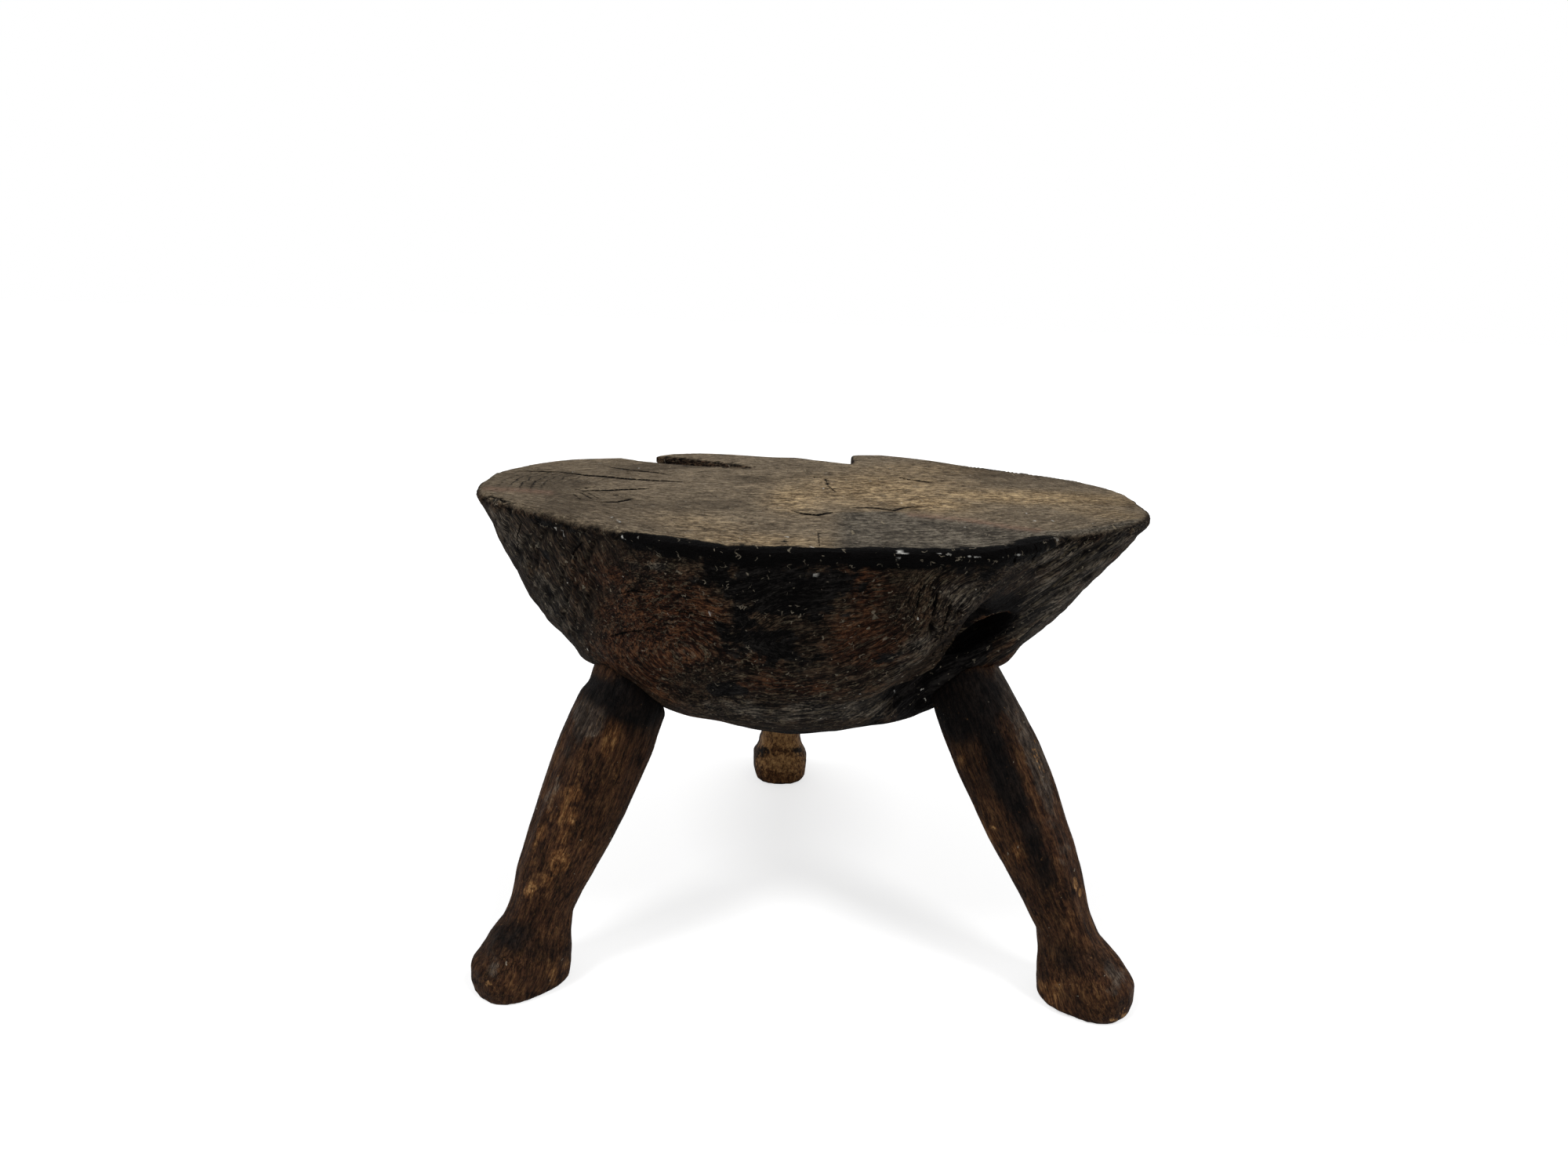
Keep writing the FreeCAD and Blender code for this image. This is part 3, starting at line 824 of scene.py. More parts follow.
def carveSeat(values):
    piece = fineCopy("seat_block", "seatBlock", values["voxel"], values["smoothing"])
    tree = surfaceTree(piece)
    cracks = cutLines(tree, seatCracks)
    for width, depth, turns in hiddenCracks:
        cracks.append((width, depth, np.array([landFrom(tree, *turn) for turn in turns])))
    marks = cutLines(tree, [(width, 0.0, spots) for width, spots in paleMarks])
    refineNear(piece, [line for _, _, line in cracks + marks], values["crackReach"], 2)
    mesh = piece.data
    places, normals = readPoints(mesh, "co"), readPoints(mesh, "normal")
    spots = pictureSpots(places)
    front = facingCamera(places, normals)
    topBand = [cadHigh.z - below for below in values["topBand"]]
    top = ease(normals[:, 2], *values["topUpright"]) * ease(places[:, 2], *topBand)
    side = 1 - top
    ridgeSide, ridgeRun = rightOf(spots, lobeRidge)
    wing = front * side * ease(rightOf(spots, wingEdge)[0], *seatSpans["wing"])
    fromLeft = spots[:, 0] + 0.35 * (spots[:, 1] - leftEndLevel)
    leftward = front * side * (1 - ease(fromLeft, *seatSpans["leftEnd"]))
    flows = seatFlows(places, spots, topOutline(places, 40), values)
    flowPlaces = {name: np.stack(parts, 1) for name, parts in flows.items()}

    # hewn waves, adze cuts, and fibres that stand proud along the grain
    scallops = 1 - adzeScallops(places, values["scallopCell"], values["scallopSeed"])
    lift = side * (values["fullness"] + values["waveHeight"] * softNoise(places, *seatNoise["waves"]))
    lift += side * swells(spots, seatSwells)
    lift -= values["scallopDepth"] * side * scallops * (1 - 0.5 * wing)
    lift -= values["topWaveDepth"] * top * (0.5 + 0.5 * softNoise(places, *seatNoise["topWaves"]))
    frontFibres = softNoise(flowPlaces["frontFlow"], *seatNoise["frontFibres"])
    backFibres = softNoise(places, *seatNoise["backFibres"])
    lift += values["fibreDepth"] * side * front * (1 - wing) * frontFibres
    lift += values["backFibreDepth"] * side * (1 - front) * backFibres
    lift += values["topFibreDepth"] * top * softNoise(flowPlaces["topFlow"], *seatNoise["topFibres"])
    furrow = wing * np.exp(-(softNoise(flowPlaces["wingFlow"], *seatNoise["furrows"]) / values["furrowWidth"]) ** 2)
    lift -= values["furrowDepth"] * furrow
    leaning = np.stack([spots[:, 0] + values["grooveLean"] * spots[:, 1], spots[:, 1], places[:, 1]], 1)
    groove = leftward * np.exp(-(softNoise(leaning, *seatNoise["grooves"]) / values["grooveWidth"]) ** 2)
    lift -= values["grooveDepth"] * groove

    # the lobe's ridge curls over the hollow, which runs out softly to the right
    ends = ease(ridgeRun, 0.0, 0.12) * ease(1 - ridgeRun, 0.0, 0.55)
    ridgeWide = np.where(ridgeSide < 0, *values["ridgeWidths"])
    lift += values["ridgeLift"] * front * side * ends * np.exp(-(ridgeSide / ridgeWide) ** 2)
    recess = ease(ridgeSide, *seatSpans["recess"]) * (1 - ease(ridgeSide, *seatSpans["recessEnd"]))
    recess *= front * side * ends
    lift -= values["hollowDepth"] * recess
    knot, pin, pit = (front * pitMask(spots, *hole) for hole in (knotHole, pinHole, rimPit))
    slit = front * np.exp(-(lineDistance(spots, slitKnot)[0] / values["slitWidth"]) ** 2)
    lift -= sum(depth * hole for depth, hole in zip(values["holeDepths"], (knot, slit, pin, pit)))
    depths, crackShadeMask = cutCracks(places, cracks, values)
    lift -= depths
    paleMask = scrapeMask(places, marks, values)
    drop, rim = wearRim(places, normals, spots, flows["topFlow"][1] / values["topDepth"], side, values)

    places = places + normals * lift[:, None]
    places[:, 2] -= drop
    nearHollow = np.exp(-(lineDistance(spots, hollowRim)[0] / values["hollowRimWidth"]) ** 2)
    soften = front * nearHollow * ease(ridgeSide, *seatSpans["hollowRim"])
    places = insideBox(smoothPart(mesh, places, soften, 60))
    writePoints(mesh, places)
    for name, parts in flows.items():
        addFlow(mesh, name, *parts)
    addMask(mesh, "seatRegion", [top, wing, front * side, rim])
    # painted shade: the deepest part of the hollow, and the knot, pin and pit holes, are painted near black
    deepestShade = ease(toneMask(spots, hollowShade), 0.30, 0.55) * ease(ridgeSide, *seatSpans["deepestShade"]) * front * side
    holeShade = np.clip(1.3 * (knot + pin) + 0.6 * pit + 0.92 * deepestShade, 0, 1)
    # the marks: painted shade in the cracks, painted shade in the holes, pale scrapes, and painted shade in the
    # furrows and grooves
    addMask(mesh, "seatMarks", [crackShadeMask, holeShade, paleMask, np.maximum(furrow, groove)])
    beside = ease(ridgeSide, *seatSpans["lobeGrain"]) * (1 - ease(ridgeSide, *seatSpans["lobeGrainEnd"]))
    beside *= ease(ridgeRun, 0.0, 0.08) * (1 - ease(ridgeRun, 0.92, 1))
    # where pale strands show: partly frayed pale fibres, partly painted sheen on raised fibres
    frayedSheen = np.clip(0.5 + toneMask(spots, frayedSheenParts), 0, 1) * side
    # two channels are read; the last two only fill the attribute
    addMask(mesh, "seatGrain", [np.maximum(front * side * beside, leftward), frayedSheen, front, front])
    addSeatTones(mesh, places, spots, front, top, recess, ridgeSide)
    return piece


# Where the seat is darker or paler, in pixels: middle, half widths, tilt in degrees, strength
seatTones = {
    # soot, and painted shade in the hollow under the lobe's ridge and along its lower edge
    "soot": [(995, 745, 105, 46, 4, 1.0), (930, 702, 150, 12, 5, 0.7), (720, 672, 100, 8, 14, 0.6),
        (975, 815, 70, 34, 20, 0.75), (926, 880, 28, 10, 4, 1.2), (1262, 792, 48, 30, -35, 1.25),
        (1222, 722, 54, 20, 10, 0.65), (640, 640, 26, 8, 20, 0.5), (1205, 860, 50, 10, -30, 0.6),
        (1070, 712, 60, 12, 0, 0.8), (700, 705, 34, 10, 40, 0.4), (1130, 840, 30, 12, -20, 0.5)],
    "tan": [(1182, 640, 60, 12, 5, 1.0), (1120, 625, 120, 22, 0, 0.8), (1015, 636, 40, 18, 0, 0.85),
        (1310, 634, 150, 9, 2, 1.0), (960, 688, 100, 10, 3, 0.55), (1400, 652, 60, 8, 8, 0.45),
        (1160, 600, 90, 10, 0, 0.4), (900, 670, 60, 14, 8, 0.35)],
    # grey weathered wood, and painted sheen where the surface is seen at a grazing angle, on the left end and below
    # the front rim
    "grey": [(760, 650, 120, 18, 6, 0.45), (1400, 715, 90, 30, -32, 0.8), (1345, 765, 84, 36, -38, 1.0),
        (1330, 705, 74, 22, 0, 1.0), (1225, 760, 40, 26, -30, 0.75), (1170, 830, 46, 22, -35, 0.7),
        (640, 700, 40, 70, -10, 0.72), (700, 780, 36, 60, -30, 0.75), (735, 830, 30, 40, -35, 0.6),
        (1080, 905, 130, 14, -4, 1.0), (960, 908, 70, 12, 8, 0.85), (840, 722, 26, 6, 0, 0.9),
        (1140, 885, 40, 12, -25, 0.5), (1450, 645, 40, 12, 0, 0.5)],
    "brown": [(845, 795, 88, 62, 10, 1.0), (800, 850, 70, 34, 30, 0.95), (1110, 815, 62, 42, -10, 0.85),
        (1110, 750, 34, 46, 0, 0.8), (780, 735, 60, 28, 0, 0.65), (960, 845, 60, 20, 10, 0.5),
        (900, 600, 120, 14, 2, 0.35), (1000, 875, 90, 12, 4, 0.7), (1330, 800, 60, 20, -38, 0.5)],
}
# painted shade in the deep hollow under the lobe's ridge
hollowShade = [(1258, 791, 46, 27, -36, 1.0), (1229, 824, 27, 22, -50, 1.0)]
# where the pale strands show, as for the tones: partly frayed fibres, partly painted sheen
frayedSheenParts = [(1000, 902, 130, 22, 0, 0.9), (1180, 765, 34, 80, 25, 0.65), (1090, 880, 70, 22, -20, 0.65),
    (940, 850, 90, 24, 10, 0.4), (1360, 770, 110, 40, -38, 0.8), (860, 770, 60, 40, 20, 0.3),
    (1340, 715, 90, 26, -20, 0.6)]
greyWedge = [(1064, 653), (1136, 651), (1166, 656), (1188, 658), (1226, 662), (1251, 665), (1286, 671),
             (1326, 676), (1351, 677), (1401, 672), (1463, 658)]
rosyWidth = 2.8
rosyLines = [[(1160, 655), (1188, 658), (1226, 662), (1251, 665), (1286, 671), (1326, 676)],
             [(618, 622), (640, 624), (671, 625), (703, 628)]]
ringArea = [(672, 613, 36, 10, 0, 1.0), (700, 606, 70, 9, 4, 0.7)]
darkTop = [(1148, 645, 30, 4, 4, 0.8), (1100, 671, 40, 12, 0, 0.3), (1240, 600, 90, 8, 6, 0.5),
    (1150, 611, 90, 7, 3, 0.5), (780, 655, 120, 14, 8, 0.3), (1060, 630, 10, 14, -30, 0.3),
    (1028.5, 618, 2.5, 2, 0, 1.0)]


def toneMask(spots, patches):
    total = np.zeros(len(spots))
    for x, y, wide, high, tilt, strength in patches:
        offset, turn = spots - (x, y), math.radians(tilt)
        along = offset[:, 0] * math.cos(turn) + offset[:, 1] * math.sin(turn)
        down = offset[:, 1] * math.cos(turn) - offset[:, 0] * math.sin(turn)
        total = np.maximum(total, strength * np.exp(-(((along / wide) ** 2 + (down / high) ** 2) ** 1.4)))
    return total


def swells(spots, patches):
    # what the places add where a surface is fuller or leaner
    return sum(height * toneMask(spots, [(*patch, 1.0)]) for *patch, height in patches)


def addSeatTones(mesh, places, spots, front, top, recess, ridgeSide):
    unseen = (1 - top) * (1 - front)
    names = ("soot", "tan", "grey", "brown")
    soot, tan, grey, brown = (toneMask(spots, seatTones[name]) * (1 - unseen) for name in names)
    cloudy = 0.5 + 0.5 * softNoise(places, *seatNoise["clouds"])
    brownClouds = 0.5 + 0.5 * softNoise(places, *seatNoise["brownClouds"])
    # painted shade in the recess under the lobe's ridge, fading out to the right
    soot = np.maximum(soot, np.clip(recess * 1.6, 0, 1) * (1 - ease(ridgeSide, *seatSpans["recessShade"])))
    soot += unseen * ease(cloudy, 0.52, 0.75)
    grey += unseen * ease(1 - cloudy, 0.5, 0.7) * 0.7
    brown += unseen * ease(brownClouds, 0.5, 0.7) * 0.8
    addMask(mesh, "seatTones", [soot, tan * top, grey, brown])
    edge = np.interp(spots[:, 0], *np.array(greyWedge, float).T)
    wedge = top * ease(spots[:, 1] - edge + 1.5 * softNoise(places, *seatNoise["wedgeEdge"]), -2, 2)
    wedge *= ease(spots[:, 0], *seatSpans["wedgeStarts"])
    nearRosy = np.min([lineDistance(spots, line)[0] for line in rosyLines], axis=0)
    rosy = np.exp(-(nearRosy / rosyWidth) ** 2)
    addMask(mesh, "topTones", [wedge, rosy * top, toneMask(spots, ringArea) * top, toneMask(spots, darkTop) * top])


# Seat block: its wood
seatWood = {
    # dark, middle and pale
    "side": shades((17, 12, 9), (46, 34, 26), (96, 78, 60)),
    "brown": shades((24, 12, 8), (58, 33, 21), (102, 68, 44)),
    "grey": shades((18, 16, 16), (62, 57, 51), (130, 120, 106)),
    "top": shades((60, 51, 41), (123, 109, 90), (174, 156, 129)),
    "tan": shades((106, 85, 59), (174, 149, 112), (220, 191, 147)),
    "wedge": shades((58, 54, 48), (95, 88, 78), (132, 124, 109)),
    "soot": shades((5, 4, 4), (40, 37, 35)),
    "rosy": colour(138, 110, 92),
    "umber": colour(70, 58, 46),
    # near black: painted shade in the cracks, holes, furrows and grooves, and the colour of pores, clefts and
    # growth rings
    "crackShade": colour(6, 4, 4),
    "strandSheenTone": colour(122, 110, 90),
    "grit": colour(168, 154, 128),
    "dust": colour(150, 140, 122),
    "lint": colour(206, 202, 192),
    "chip": colour(214, 212, 206),
    "toneStops": (0.455, 0.51, 0.575),
    "topStops": (0.38, 0.51, 0.64),
    "sootAndShadeStops": (0.48, 0.60),
    # length and width of the fibres in metres, and their waviness
    "topGrain": (0.011, 0.005, 0.15),
    "frontGrain": (0.020, 0.0034, 0.12),
    "wingGrain": (0.05, 0.0036, 0.15),
    "ridgeGrain": (0.03, 0.0030, 0.1),
    "backGrain": (0.05, 0.0040, 0.35),
    # spacing in metres, size and share
    "gritMarks": (0.0045, 0.12, 0.45),
    "dustMarks": (0.0050, 0.12, 0.55),
    "lintMarks": (0.012, 0.065, 0.45),
    "gritStretch": (1.0, 0.22, 1.0),
    "pith": (-0.041, -0.039, 0.325),
    "ringSpacing": 0.0075,
    "ringUnevenness": 0.45,
    "roughness": 0.66,
    "specular": 0.035,
    "relief": 0.0026,
}


def makeSeatWood(wood):
    material, tree, shader, place = startMaterial("seatWood")
    top, wing, frontSide, rim = channels(tree, "seatRegion")
    soot, tan, grey, brown = channels(tree, "seatTones")
    crackShade, holeShade, marks, creviceShade = channels(tree, "seatMarks")
    wedge, rosy, ringPart, umber = channels(tree, "topTones")
    ridge, frayedSheen = channels(tree, "seatGrain")[:2]
    fibre = {name: fibresAlong(tree, flowOf(tree, f"{name}Flow"), *wood[f"{name}Grain"])
             for name in ("top", "front", "wing", "ridge")}
    fibre["back"] = fibresAlong(tree, place, *wood["backGrain"])

    def byRegion(name):
        sides = mixed(tree, frontSide, fibre["back"][name], fibre["front"][name])
        sides = mixed(tree, ridge, mixed(tree, wing, sides, fibre["wing"][name]), fibre["ridge"][name])
        return mixed(tree, top, sides, fibre["top"][name])

    streaks, fibres, pores = byRegion("Streaks"), byRegion("Fibres"), byRegion("Pores")
    clefts, strandSheen = byRegion("Clefts"), times(tree, byRegion("SheenStrands"), frayedSheen)
    speckle = noise(tree, place, 420.0, 2.0, 0.6)
    cloud = noise(tree, place, 42.0, 5.0, 0.62)
    wide = noise(tree, place, 13.0)
    patchy = noise(tree, place, 75.0, 5.0, 0.62)
    tone = weighted(tree, (streaks, 0.28), (fibres, 0.36), (speckle, 0.18), (cloud, 0.18))

    def grained(name, stops=wood["toneStops"]):
        return ramp(tree, tone, zip(stops, wood[name]))

    # the sides: dark wood, browner in places, greyer where grey wood and painted sheen lie, pale strands that are
    # partly painted sheen, and painted shade in the furrows and grooves
    base = paint(tree, grained("side"), wood["side"][0], spread(tree, wide, 0.35, 0.65, 0.55, 0.0))
    base = paint(tree, base, grained("brown"), ragged(tree, brown, cloud, 0.7, 0.12, 0.85))
    # grey wood, and painted sheen
    base = paint(tree, base, grained("grey"), ragged(tree, grey, patchy, 1.1, 0.20, 0.95))
    # pale strands: partly pale fibres, partly painted sheen
    base = paint(tree, base, wood["strandSheenTone"], strandSheen, 0.8)
    # painted shade in the furrows of the wing and the grooves of the left end
    base = paint(tree, base, wood["crackShade"], creviceShade, 0.75)

    # the top: paler, tan in the middle and grey in front, with growth rings and grit
    topWood = grained("top", wood["topStops"])
    topWood = paint(tree, topWood, wood["top"][0], spread(tree, wide, 0.34, 0.50, 0.55, 0.0))
    topWood = paint(tree, topWood, wood["umber"], umber, 0.8)
    topWood = paint(tree, topWood, grained("tan"), tan, spread(tree, streaks, 0.32, 0.58, 0.45, 1.0))
    topWood = paint(tree, topWood, grained("wedge"), wedge, 0.88)
    topWood = paint(tree, topWood, wood["rosy"], rosy, spread(tree, fibres, 0.42, 0.58, 0.25, 0.9))
    outward = addNode(tree, "ShaderNodeVectorMath", {0: place, 1: wood["pith"]}, operation="DISTANCE")
    rings = useGroup(tree, growthRings, {
        "Place": place, "Outward": outward.outputs["Value"],
        "Spacing": wood["ringSpacing"], "Unevenness": wood["ringUnevenness"],
    })["Lines"]
    arcs = times(tree, rings, ringPart, spread(tree, cloud, 0.3, 0.5, 0.7, 1.0))
    topWood = paint(tree, topWood, wood["crackShade"], arcs)
    topWood = paint(tree, topWood, wood["top"][0], rings, 0.16, spread(tree, wide, 0.4, 0.6))
    grit = flecksAt(tree, stretched(tree, place, wood["gritStretch"]), *wood["gritMarks"])
    topWood = paint(tree, topWood, wood["grit"], grit["Flecks"], 0.45)
    base = paint(tree, base, topWood, top)

    # soot and painted shade, the blackened rim, pores, clefts, dust and lint, painted shade in the cracks and
    # holes, and scrapes
    base = paint(tree, base, grained("soot", wood["sootAndShadeStops"]), ragged(tree, soot, patchy, 1.0))
    base = paint(tree, base, wood["soot"][0], ragged(tree, rim, patchy, 0.9, 0.30, 0.65))
    base = paint(tree, base, wood["crackShade"], pores, 0.45)
    base = paint(tree, base, wood["crackShade"], clefts, spread(tree, top, 0.0, 1.0, 0.8, 0.4))
    clean = spread(tree, rim, 0.1, 0.6, 0.8, 0.25)
    dust, lint = (flecksAt(tree, place, *wood[name]) for name in ("dustMarks", "lintMarks"))
    base = paint(tree, base, wood["dust"], dust["Flecks"], clean, 0.7)
    base = paint(tree, base, wood["lint"], lint["Flecks"], clean)
    base = paint(tree, base, wood["dust"], lint["Strokes"], 0.42)
    # painted shade in the cracks and holes
    base = paint(tree, base, wood["crackShade"], calc(tree, "MAXIMUM", crackShade, holeShade))
    base = paint(tree, base, wood["chip"], marks, 0.75)
    relief = weighted(tree, (tone,), (pores, -0.25), (arcs, -0.3), (clefts, -0.35), (strandSheen, 0.25))
    finishWood(tree, shader, wood, base, tone, (0.12, -0.08), relief)
    return material


seatBlock = carveSeat(seatShape)
dress(seatBlock, "seat_block", makeSeatWood(seatWood))
print("stage: seat block,", len(seatBlock.data.polygons), "faces")

# Legs: their shape
legShape = {
    "voxel": 0.0015,
    "smoothing": 8,
    "fullness": 0.0020,       # what the smoothing and the adze cuts take off
    "waveHeight": 0.0010,
    "scallopDepth": 0.0009,
    "furrowDepth": 0.0005,
    "waveCell": 0.035,
    "scallopCell": (0.05, 0.017, 0.017),
    "furrowCell": (0.035, 0.0035, 0.0035),
    "cloudCell": 0.05,
    "soleBand": (0.0, 0.004),
    "tenonBand": (-0.206, -0.186),
    "shoulderBand": (0.150, 0.172),
    "tenonEdge": (0.0195, 0.0215),
    "underSeatShadeBand": (0.13, 0.19),
    "shoulderRise": 0.0035,   # closes the shoulder against the seat
}
legFeet = {"front_left": (-0.1864, -0.1613), "front_right": (0.1950, -0.1655), "rear": (-0.0150, 0.2232)}
legHeads = {"front_left": (-0.1244, -0.0999), "front_right": (0.1215, -0.1001), "rear": (-0.0081, 0.1019)}
legHeadHeight = 0.186

# Where a leg is fuller or leaner than the solid, as for the seat
legSwells = {
    "front_left": [(838, 930, 10, 20, 20, -0.0012), (750, 862, 20, 18, 0, -0.0042), (853, 904, 12, 11, 0, -0.0042),
        (690, 1010, 10, 130, 20, -0.0022), (612, 1235, 22, 60, 0, -0.0022), (652, 1140, 12, 30, 12, -0.0016)],
    "front_right": [(1392, 1165, 14, 56, -20, -0.0034), (1360, 1060, 10, 60, -20, -0.0016),
        (1345, 1290, 22, 16, 0, 0.0024)],
    "rear": [(1024, 940, 6, 12, 0, -0.002), (966, 946, 6, 6, 0, -0.0016)],
}

# Where each leg is darker or paler, as for the seat
# the soot patches at the top of the front legs, under the seat, are partly painted shade
legTones = {
    "front_left": {
        "soot": [(808, 900, 44, 38, 12, 1.6), (772, 892, 50, 22, 22, 1.2), (735, 940, 14, 60, 22, 0.5),
            (655, 1195, 44, 26, -20, 0.8), (690, 1212, 40, 18, 10, 0.65), (722, 1200, 10, 30, 0, 0.5)],
        "ochre": [(782, 935, 12, 40, 22, 0.8), (735, 1030, 26, 60, 22, 0.6), (712, 1100, 14, 18, 0, 1.0),
            (700, 1125, 16, 20, 0, 0.5), (712, 1230, 20, 26, 20, 0.5), (676, 1136, 8, 14, 20, 0.8),
            (692, 1060, 12, 60, 18, 0.6)],
        "grey": [(750, 920, 24, 40, 22, 0.85), (706, 1010, 12, 90, 22, 0.45), (628, 1235, 14, 34, 0, 0.5)],
        "scuffAndPaintedLight": [(712, 1100, 10, 14, 0, 0.6), (675, 1135, 5, 12, 15, 0.7), (621, 1256, 5, 5, 0, 0.7),
            (729, 1047, 5, 8, 15, 0.5), (740, 985, 8, 8, 0, 0.35), (785, 990, 5, 6, 0, 0.4)],
    },
    "front_right": {
        "soot": [(1232, 905, 56, 48, -15, 1.5), (1280, 985, 20, 110, -22, 1.15), (1322, 1085, 18, 70, -20, 1.0),
            (1262, 960, 16, 26, -20, 0.6), (1372, 1222, 50, 26, 8, 0.6), (1350, 1160, 12, 40, -15, 0.4)],
        "ochre": [(1232, 975, 10, 34, -24, 0.45), (1250, 1045, 14, 40, -24, 0.6), (1302, 1086, 14, 18, -20, 0.85),
            (1340, 1262, 16, 24, 0, 0.8)],
        # painted sheen on the right facet of the leg, over grey wood
        "grey": [(1292, 895, 20, 50, -22, 0.9), (1325, 985, 14, 70, -18, 0.8), (1352, 1075, 16, 60, -16, 0.5),
            (1420, 1250, 18, 34, 0, 0.5)],
        "scuffAndPaintedLight": [(1374, 1126, 4, 10, -10, 1.0), (1381, 1138, 3, 6, -10, 1.0), (1324, 972, 5, 22, -15, 0.5),
            (1266, 1054, 8, 3, 20, 0.7), (1432, 1293, 6, 6, 0, 0.8), (1420, 1300, 8, 3, 0, 0.6)],
    },
    # the rear leg lies in the seat's shade: its large scuff patches are painted light that makes it paler, over its
    # ochre wood
    "rear": {
        "soot": [(974, 958, 12, 10, 10, 0.9), (1016, 957, 9, 8, -10, 0.9), (996, 958, 20, 3, 0, 0.5),
            (1013, 936, 1.5, 6, 20, 0.7)],
        "ochre": [(996, 945, 46, 24, 0, 1.2), (1000, 980, 46, 20, 0, 1.2), (996, 962, 16, 24, 0, 1.0)],
        "grey": [(964, 965, 4, 18, 0, 0.5), (1026, 962, 4, 18, 0, 0.4)],
        "scuffAndPaintedLight": [(996, 938, 46, 16, 0, 1.6), (996, 972, 44, 16, 0, 0.9)],
    },
}


def carveLeg(leg, values, seed):
    words = leg.split("_")
    name = words[0] + "".join(word.title() for word in words[1:]) + "Leg"
    piece = fineCopy(f"{leg}_leg", name, values["voxel"], values["smoothing"])
    mesh = piece.data
    places, normals = readPoints(mesh, "co"), readPoints(mesh, "normal")
    spots = pictureSpots(places)
    front = facingCamera(places, normals)
    foot, head = np.array((*legFeet[leg], 0.0)), np.array((*legHeads[leg], legHeadHeight))
    axis = (head - foot) / np.linalg.norm(head - foot)
    sideways = np.cross(axis, (foot - head) * (1, 1, 0))
    sideways /= np.linalg.norm(sideways)
    flow = (places - foot) @ np.stack([axis, np.cross(sideways, axis), sideways], 1) + (0, 0, seed * 0.37)
    lift = values["fullness"] + values["waveHeight"] * softNoise(places, values["waveCell"], seed, 3)
    lift -= values["scallopDepth"] * (1 - adzeScallops(flow, values["scallopCell"], seed + 1))
    lift -= values["furrowDepth"] * (1 + softNoise(flow, values["furrowCell"], seed + 2, 2))
    lift += swells(spots, legSwells[leg])
    # nothing is carved at the sole, nor in the tenon above the shoulder
    lift *= ease(places[:, 2], *values["soleBand"]) * ease(-places[:, 2], *values["tenonBand"])
    places = places + normals * lift[:, None]
    fromHead = places - head
    aside = np.linalg.norm(fromHead - np.outer(fromHead @ axis, axis), axis=1)
    shoulder = ease(places[:, 2], *values["shoulderBand"]) * ease(aside, *values["tenonEdge"])
    places = insideBox(places + axis * (values["shoulderRise"] * shoulder)[:, None])
    writePoints(mesh, places)
    addFlow(mesh, "legFlow", *flow.T)
    names = ("soot", "ochre", "grey", "scuffAndPaintedLight")
    soot, ochre, grey, scuffAndPaintedLight = (toneMask(spots, legTones[leg][name]) * front for name in names)
    cloudy = 0.5 + 0.5 * softNoise(places, values["cloudCell"], seed + 3, 3)
    # painted shade where the leg goes into the seat, darker towards the top, on the sides the camera doesn't face
    underSeatShade = ease(places[:, 2], *values["underSeatShadeBand"])
    soot += (1 - front) * np.maximum(ease(cloudy, 0.6, 0.8), underSeatShade) * 0.9
    ochre += (1 - front) * ease(1 - cloudy, 0.55, 0.75) * 0.7
    addMask(mesh, "legTones", [soot, ochre, grey, scuffAndPaintedLight])
    return piece


legWood = {
    # dark, middle and pale
    "plain": shades((22, 11, 7), (67, 42, 27), (104, 72, 46)),
    "ochre": shades((46, 26, 14), (100, 64, 36), (168, 128, 80)),
    "grey": shades((32, 27, 24), (70, 61, 54), (120, 110, 98)),
    "scuffAndPaintedLight": shades((78, 52, 30), (150, 110, 68), (200, 158, 106)),
    "soot": shades((5, 4, 4), (32, 25, 22)),
    "lint": colour(178, 168, 150),
    "toneStops": (0.43, 0.51, 0.62),
    "sootAndShadeStops": (0.48, 0.62),
    "grain": (0.016, 0.0024, 0.1),
    "dustMarks": (0.0055, 0.09, 0.26),
    "roughness": 0.55,
    "specular": 0.08,
    "relief": 0.0016,
}


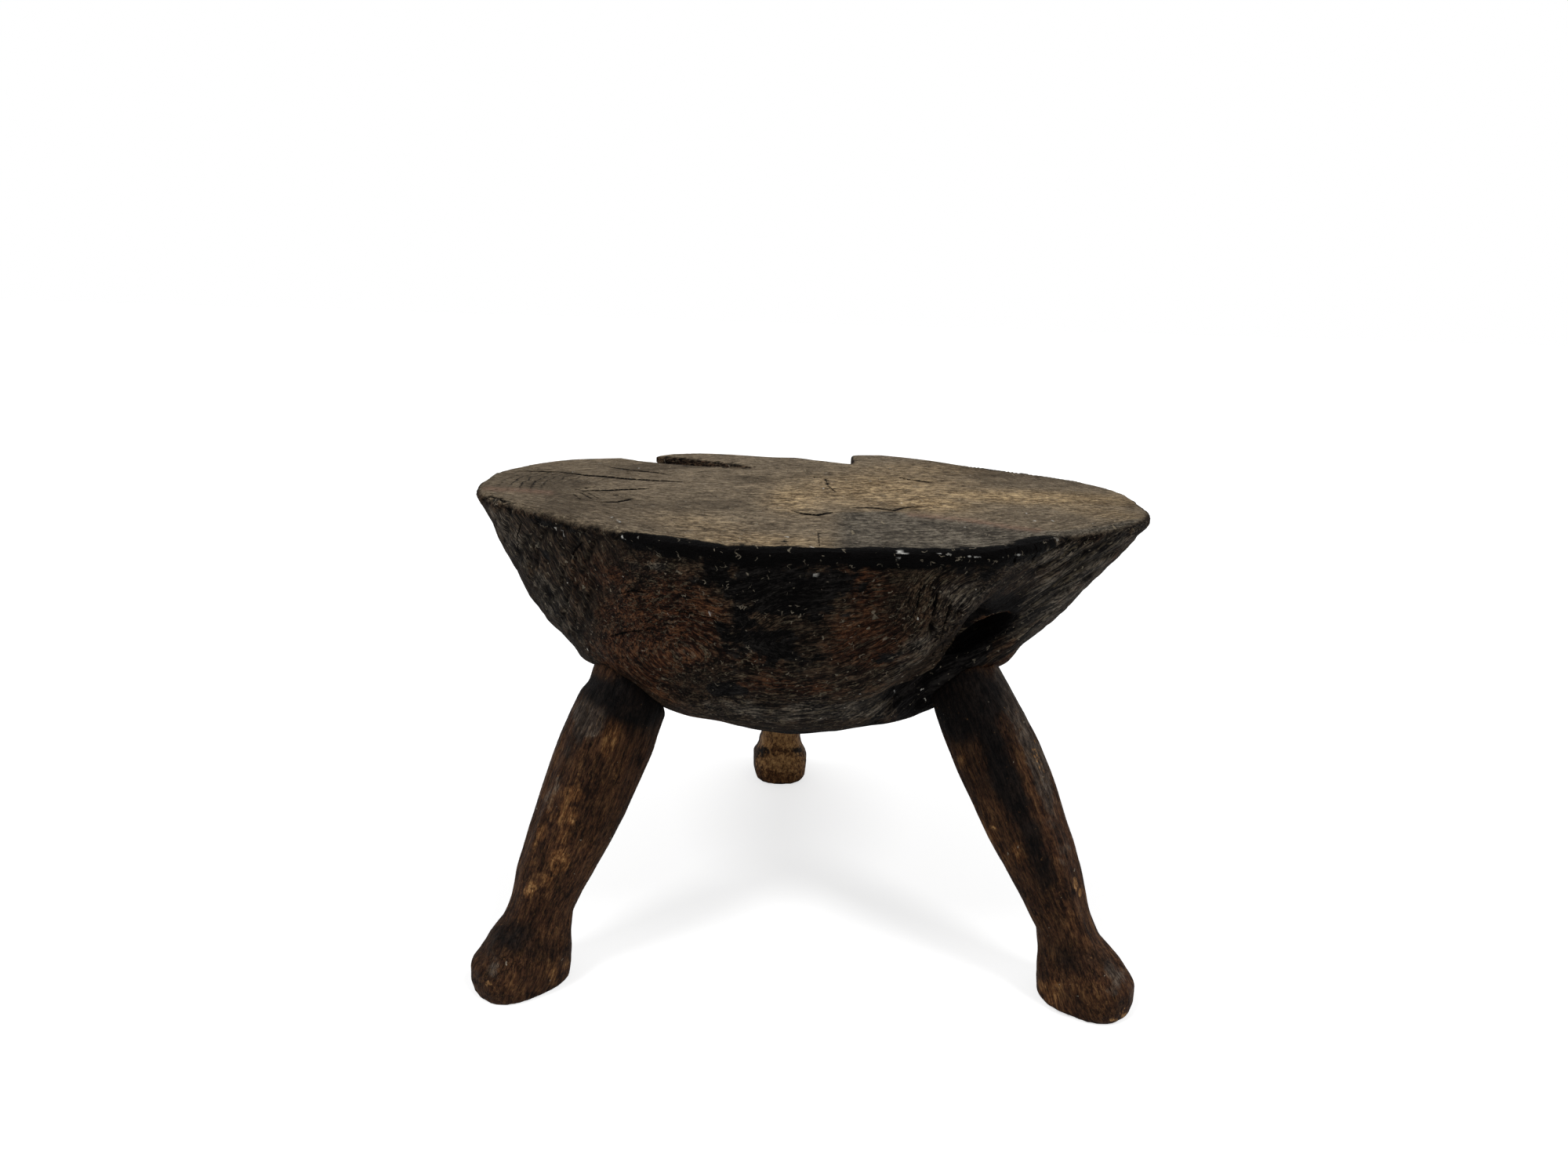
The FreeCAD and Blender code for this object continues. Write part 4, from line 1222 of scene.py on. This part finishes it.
def makeLegWood(wood):
    material, tree, shader, place = startMaterial("legWood")
    soot, ochre, grey, scuffAndPaintedLight = channels(tree, "legTones")
    fibre = fibresAlong(tree, flowOf(tree, "legFlow"), *wood["grain"])
    speckle = noise(tree, place, 420.0, 2.0, 0.6)
    cloud = noise(tree, place, 60.0, 5.0, 0.62)
    wide = noise(tree, place, 22.0)
    tone = weighted(tree, (fibre["Streaks"], 0.36), (fibre["Fibres"], 0.30), (speckle, 0.12), (cloud, 0.22))

    def grained(name, stops=wood["toneStops"]):
        return ramp(tree, tone, zip(stops, wood[name]))

    # plain wood, ochre in places, grey wood with painted sheen, pale strands that are partly painted sheen, then
    # soot with painted shade, pores, dust, clefts, and scuffs with painted light on the rear leg
    base = paint(tree, grained("plain"), wood["plain"][0], spread(tree, wide, 0.35, 0.65, 0.45, 0.0))
    rags = spread(tree, noise(tree, place, 50.0, 4.0, 0.6, 0.4), 0.43, 0.67)
    base = paint(tree, base, grained("ochre"), rags, 0.22)
    base = paint(tree, base, grained("ochre"), ragged(tree, ochre, cloud, 0.8), 0.8)
    base = paint(tree, base, grained("grey"), ragged(tree, grey, cloud, 0.7), 0.8)
    # pale strands: partly pale fibres, partly painted sheen
    base = paint(tree, base, wood["ochre"][2], fibre["SheenStrands"], 0.14)
    sooty = ragged(tree, soot, cloud, 0.7, 0.10, 1.0)
    base = paint(tree, base, grained("soot", wood["sootAndShadeStops"]), sooty, 0.97)
    base = paint(tree, base, wood["soot"][0], fibre["Pores"], 0.45)
    dust = flecksAt(tree, place, *wood["dustMarks"])
    base = paint(tree, base, wood["lint"], dust["Flecks"], 0.45)
    base = paint(tree, base, wood["soot"][0], fibre["Clefts"], 0.45)
    # scuffs, and painted light that makes the rear leg paler
    worn = ragged(tree, scuffAndPaintedLight, noise(tree, place, 300.0, 2.0), 0.9, 0.35, 0.85)
    base = paint(tree, base, grained("scuffAndPaintedLight"), worn)
    relief = weighted(tree, (tone,), (fibre["Pores"], -0.25), (fibre["Clefts"], -0.3))
    finishWood(tree, shader, wood, base, tone, (0.12, -0.06), relief)
    return material


legMaterial = makeLegWood(legWood)
for order, leg in enumerate(legFeet):
    legPiece = carveLeg(leg, legShape, 100 + 10 * order)
    dress(legPiece, f"{leg}_leg", legMaterial)
    print("stage:", legPiece.name, len(legPiece.data.polygons), "faces")

# Wedges: split pale wood, hidden in the tenons, so the CAD nodes stay
wedgeWood = {
    "dark": colour(112, 82, 52),
    "pale": colour(168, 130, 88),
    "grain": (0.03, 0.001, 0.3),
    "roughness": 0.7,
    "relief": 0.0005,
}


def makeWedgeWood(wood):
    material, tree, shader, place = startMaterial("wedgeWood")
    fibre = fibresAlong(tree, place, *wood["grain"])
    tree.links.new(mixed(tree, fibre["Streaks"], wood["dark"], wood["pale"]), shader.inputs["Base Color"])
    shader.inputs["Roughness"].default_value = wood["roughness"]
    tree.links.new(bump(tree, fibre["Fibres"], 0.3, wood["relief"]), shader.inputs["Normal"])
    return material


wedgeMaterial = makeWedgeWood(wedgeWood)
for leg in legFeet:
    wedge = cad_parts[f"{leg}_wedge"]
    wedge.data.materials.clear()
    wedge.data.materials.append(wedgeMaterial)

# Floor, lamps and world
studio = {
    "floorSize": 60.0,
    "floorColour": (0.62, 0.62, 0.62, 1.0),
    "floorRoughness": 0.8,
    "floorSpecular": 0.05,
    "floorGlow": 0.64,        # seen by the camera only, so that the paper shows white and keeps the shadow
    "worldStrength": 0.45,
    "lampPower": 0.98,
    "lampAngle": 16.0,
    "lampLeans": {"left": (-0.56, -0.54, 1.0), "right": (0.58, -0.56, 1.0)},
}


def makeFloor(values):
    half = values["floorSize"] / 2
    mesh = bpy.data.meshes.new("floor")
    mesh.from_pydata([(-half, -half, 0), (half, -half, 0), (half, half, 0), (-half, half, 0)], [], [(0, 1, 2, 3)])
    floor = bpy.data.objects.new("floor", mesh)
    bpy.context.scene.collection.objects.link(floor)
    material = bpy.data.materials.new("floorPaper")
    material.use_nodes = True
    tree = material.node_tree
    shader = tree.nodes["Principled BSDF"]
    shader.inputs["Base Color"].default_value = values["floorColour"]
    shader.inputs["Roughness"].default_value = values["floorRoughness"]
    shader.inputs["Specular IOR Level"].default_value = values["floorSpecular"]
    sight = addNode(tree, "ShaderNodeLightPath").outputs["Is Camera Ray"]
    shader.inputs["Emission Color"].default_value = (1, 1, 1, 1)
    tree.links.new(times(tree, sight, values["floorGlow"]), shader.inputs["Emission Strength"])
    mesh.materials.append(material)


def makeLamps(values):
    # two wide, soft lamps from above, in front of the stool to its left and right
    for side, lean in values["lampLeans"].items():
        data = bpy.data.lights.new(f"{side}Lamp", "SUN")
        data.energy = values["lampPower"]
        data.angle = math.radians(values["lampAngle"])
        lamp = bpy.data.objects.new(f"{side}Lamp", data)
        lamp.rotation_euler = (-Vector(lean)).to_track_quat("-Z", "Y").to_euler()
        bpy.context.scene.collection.objects.link(lamp)


def makeWorld(values):
    world = bpy.data.worlds.new("softWorld")
    bpy.context.scene.world = world
    world.use_nodes = True
    tree = world.node_tree
    background = tree.nodes["Background"]
    background.inputs["Color"].default_value = (1, 1, 1, 1)
    shown = addNode(tree, "ShaderNodeLightPath").outputs["Is Camera Ray"]
    strength = calc(tree, "ADD", times(tree, shown, 1 - values["worldStrength"]), values["worldStrength"])
    tree.links.new(strength, background.inputs["Strength"])


makeFloor(studio)
makeLamps(studio)
makeWorld(studio)
bpy.context.scene.view_settings.view_transform = "Standard"
print("stage: floor and lights")
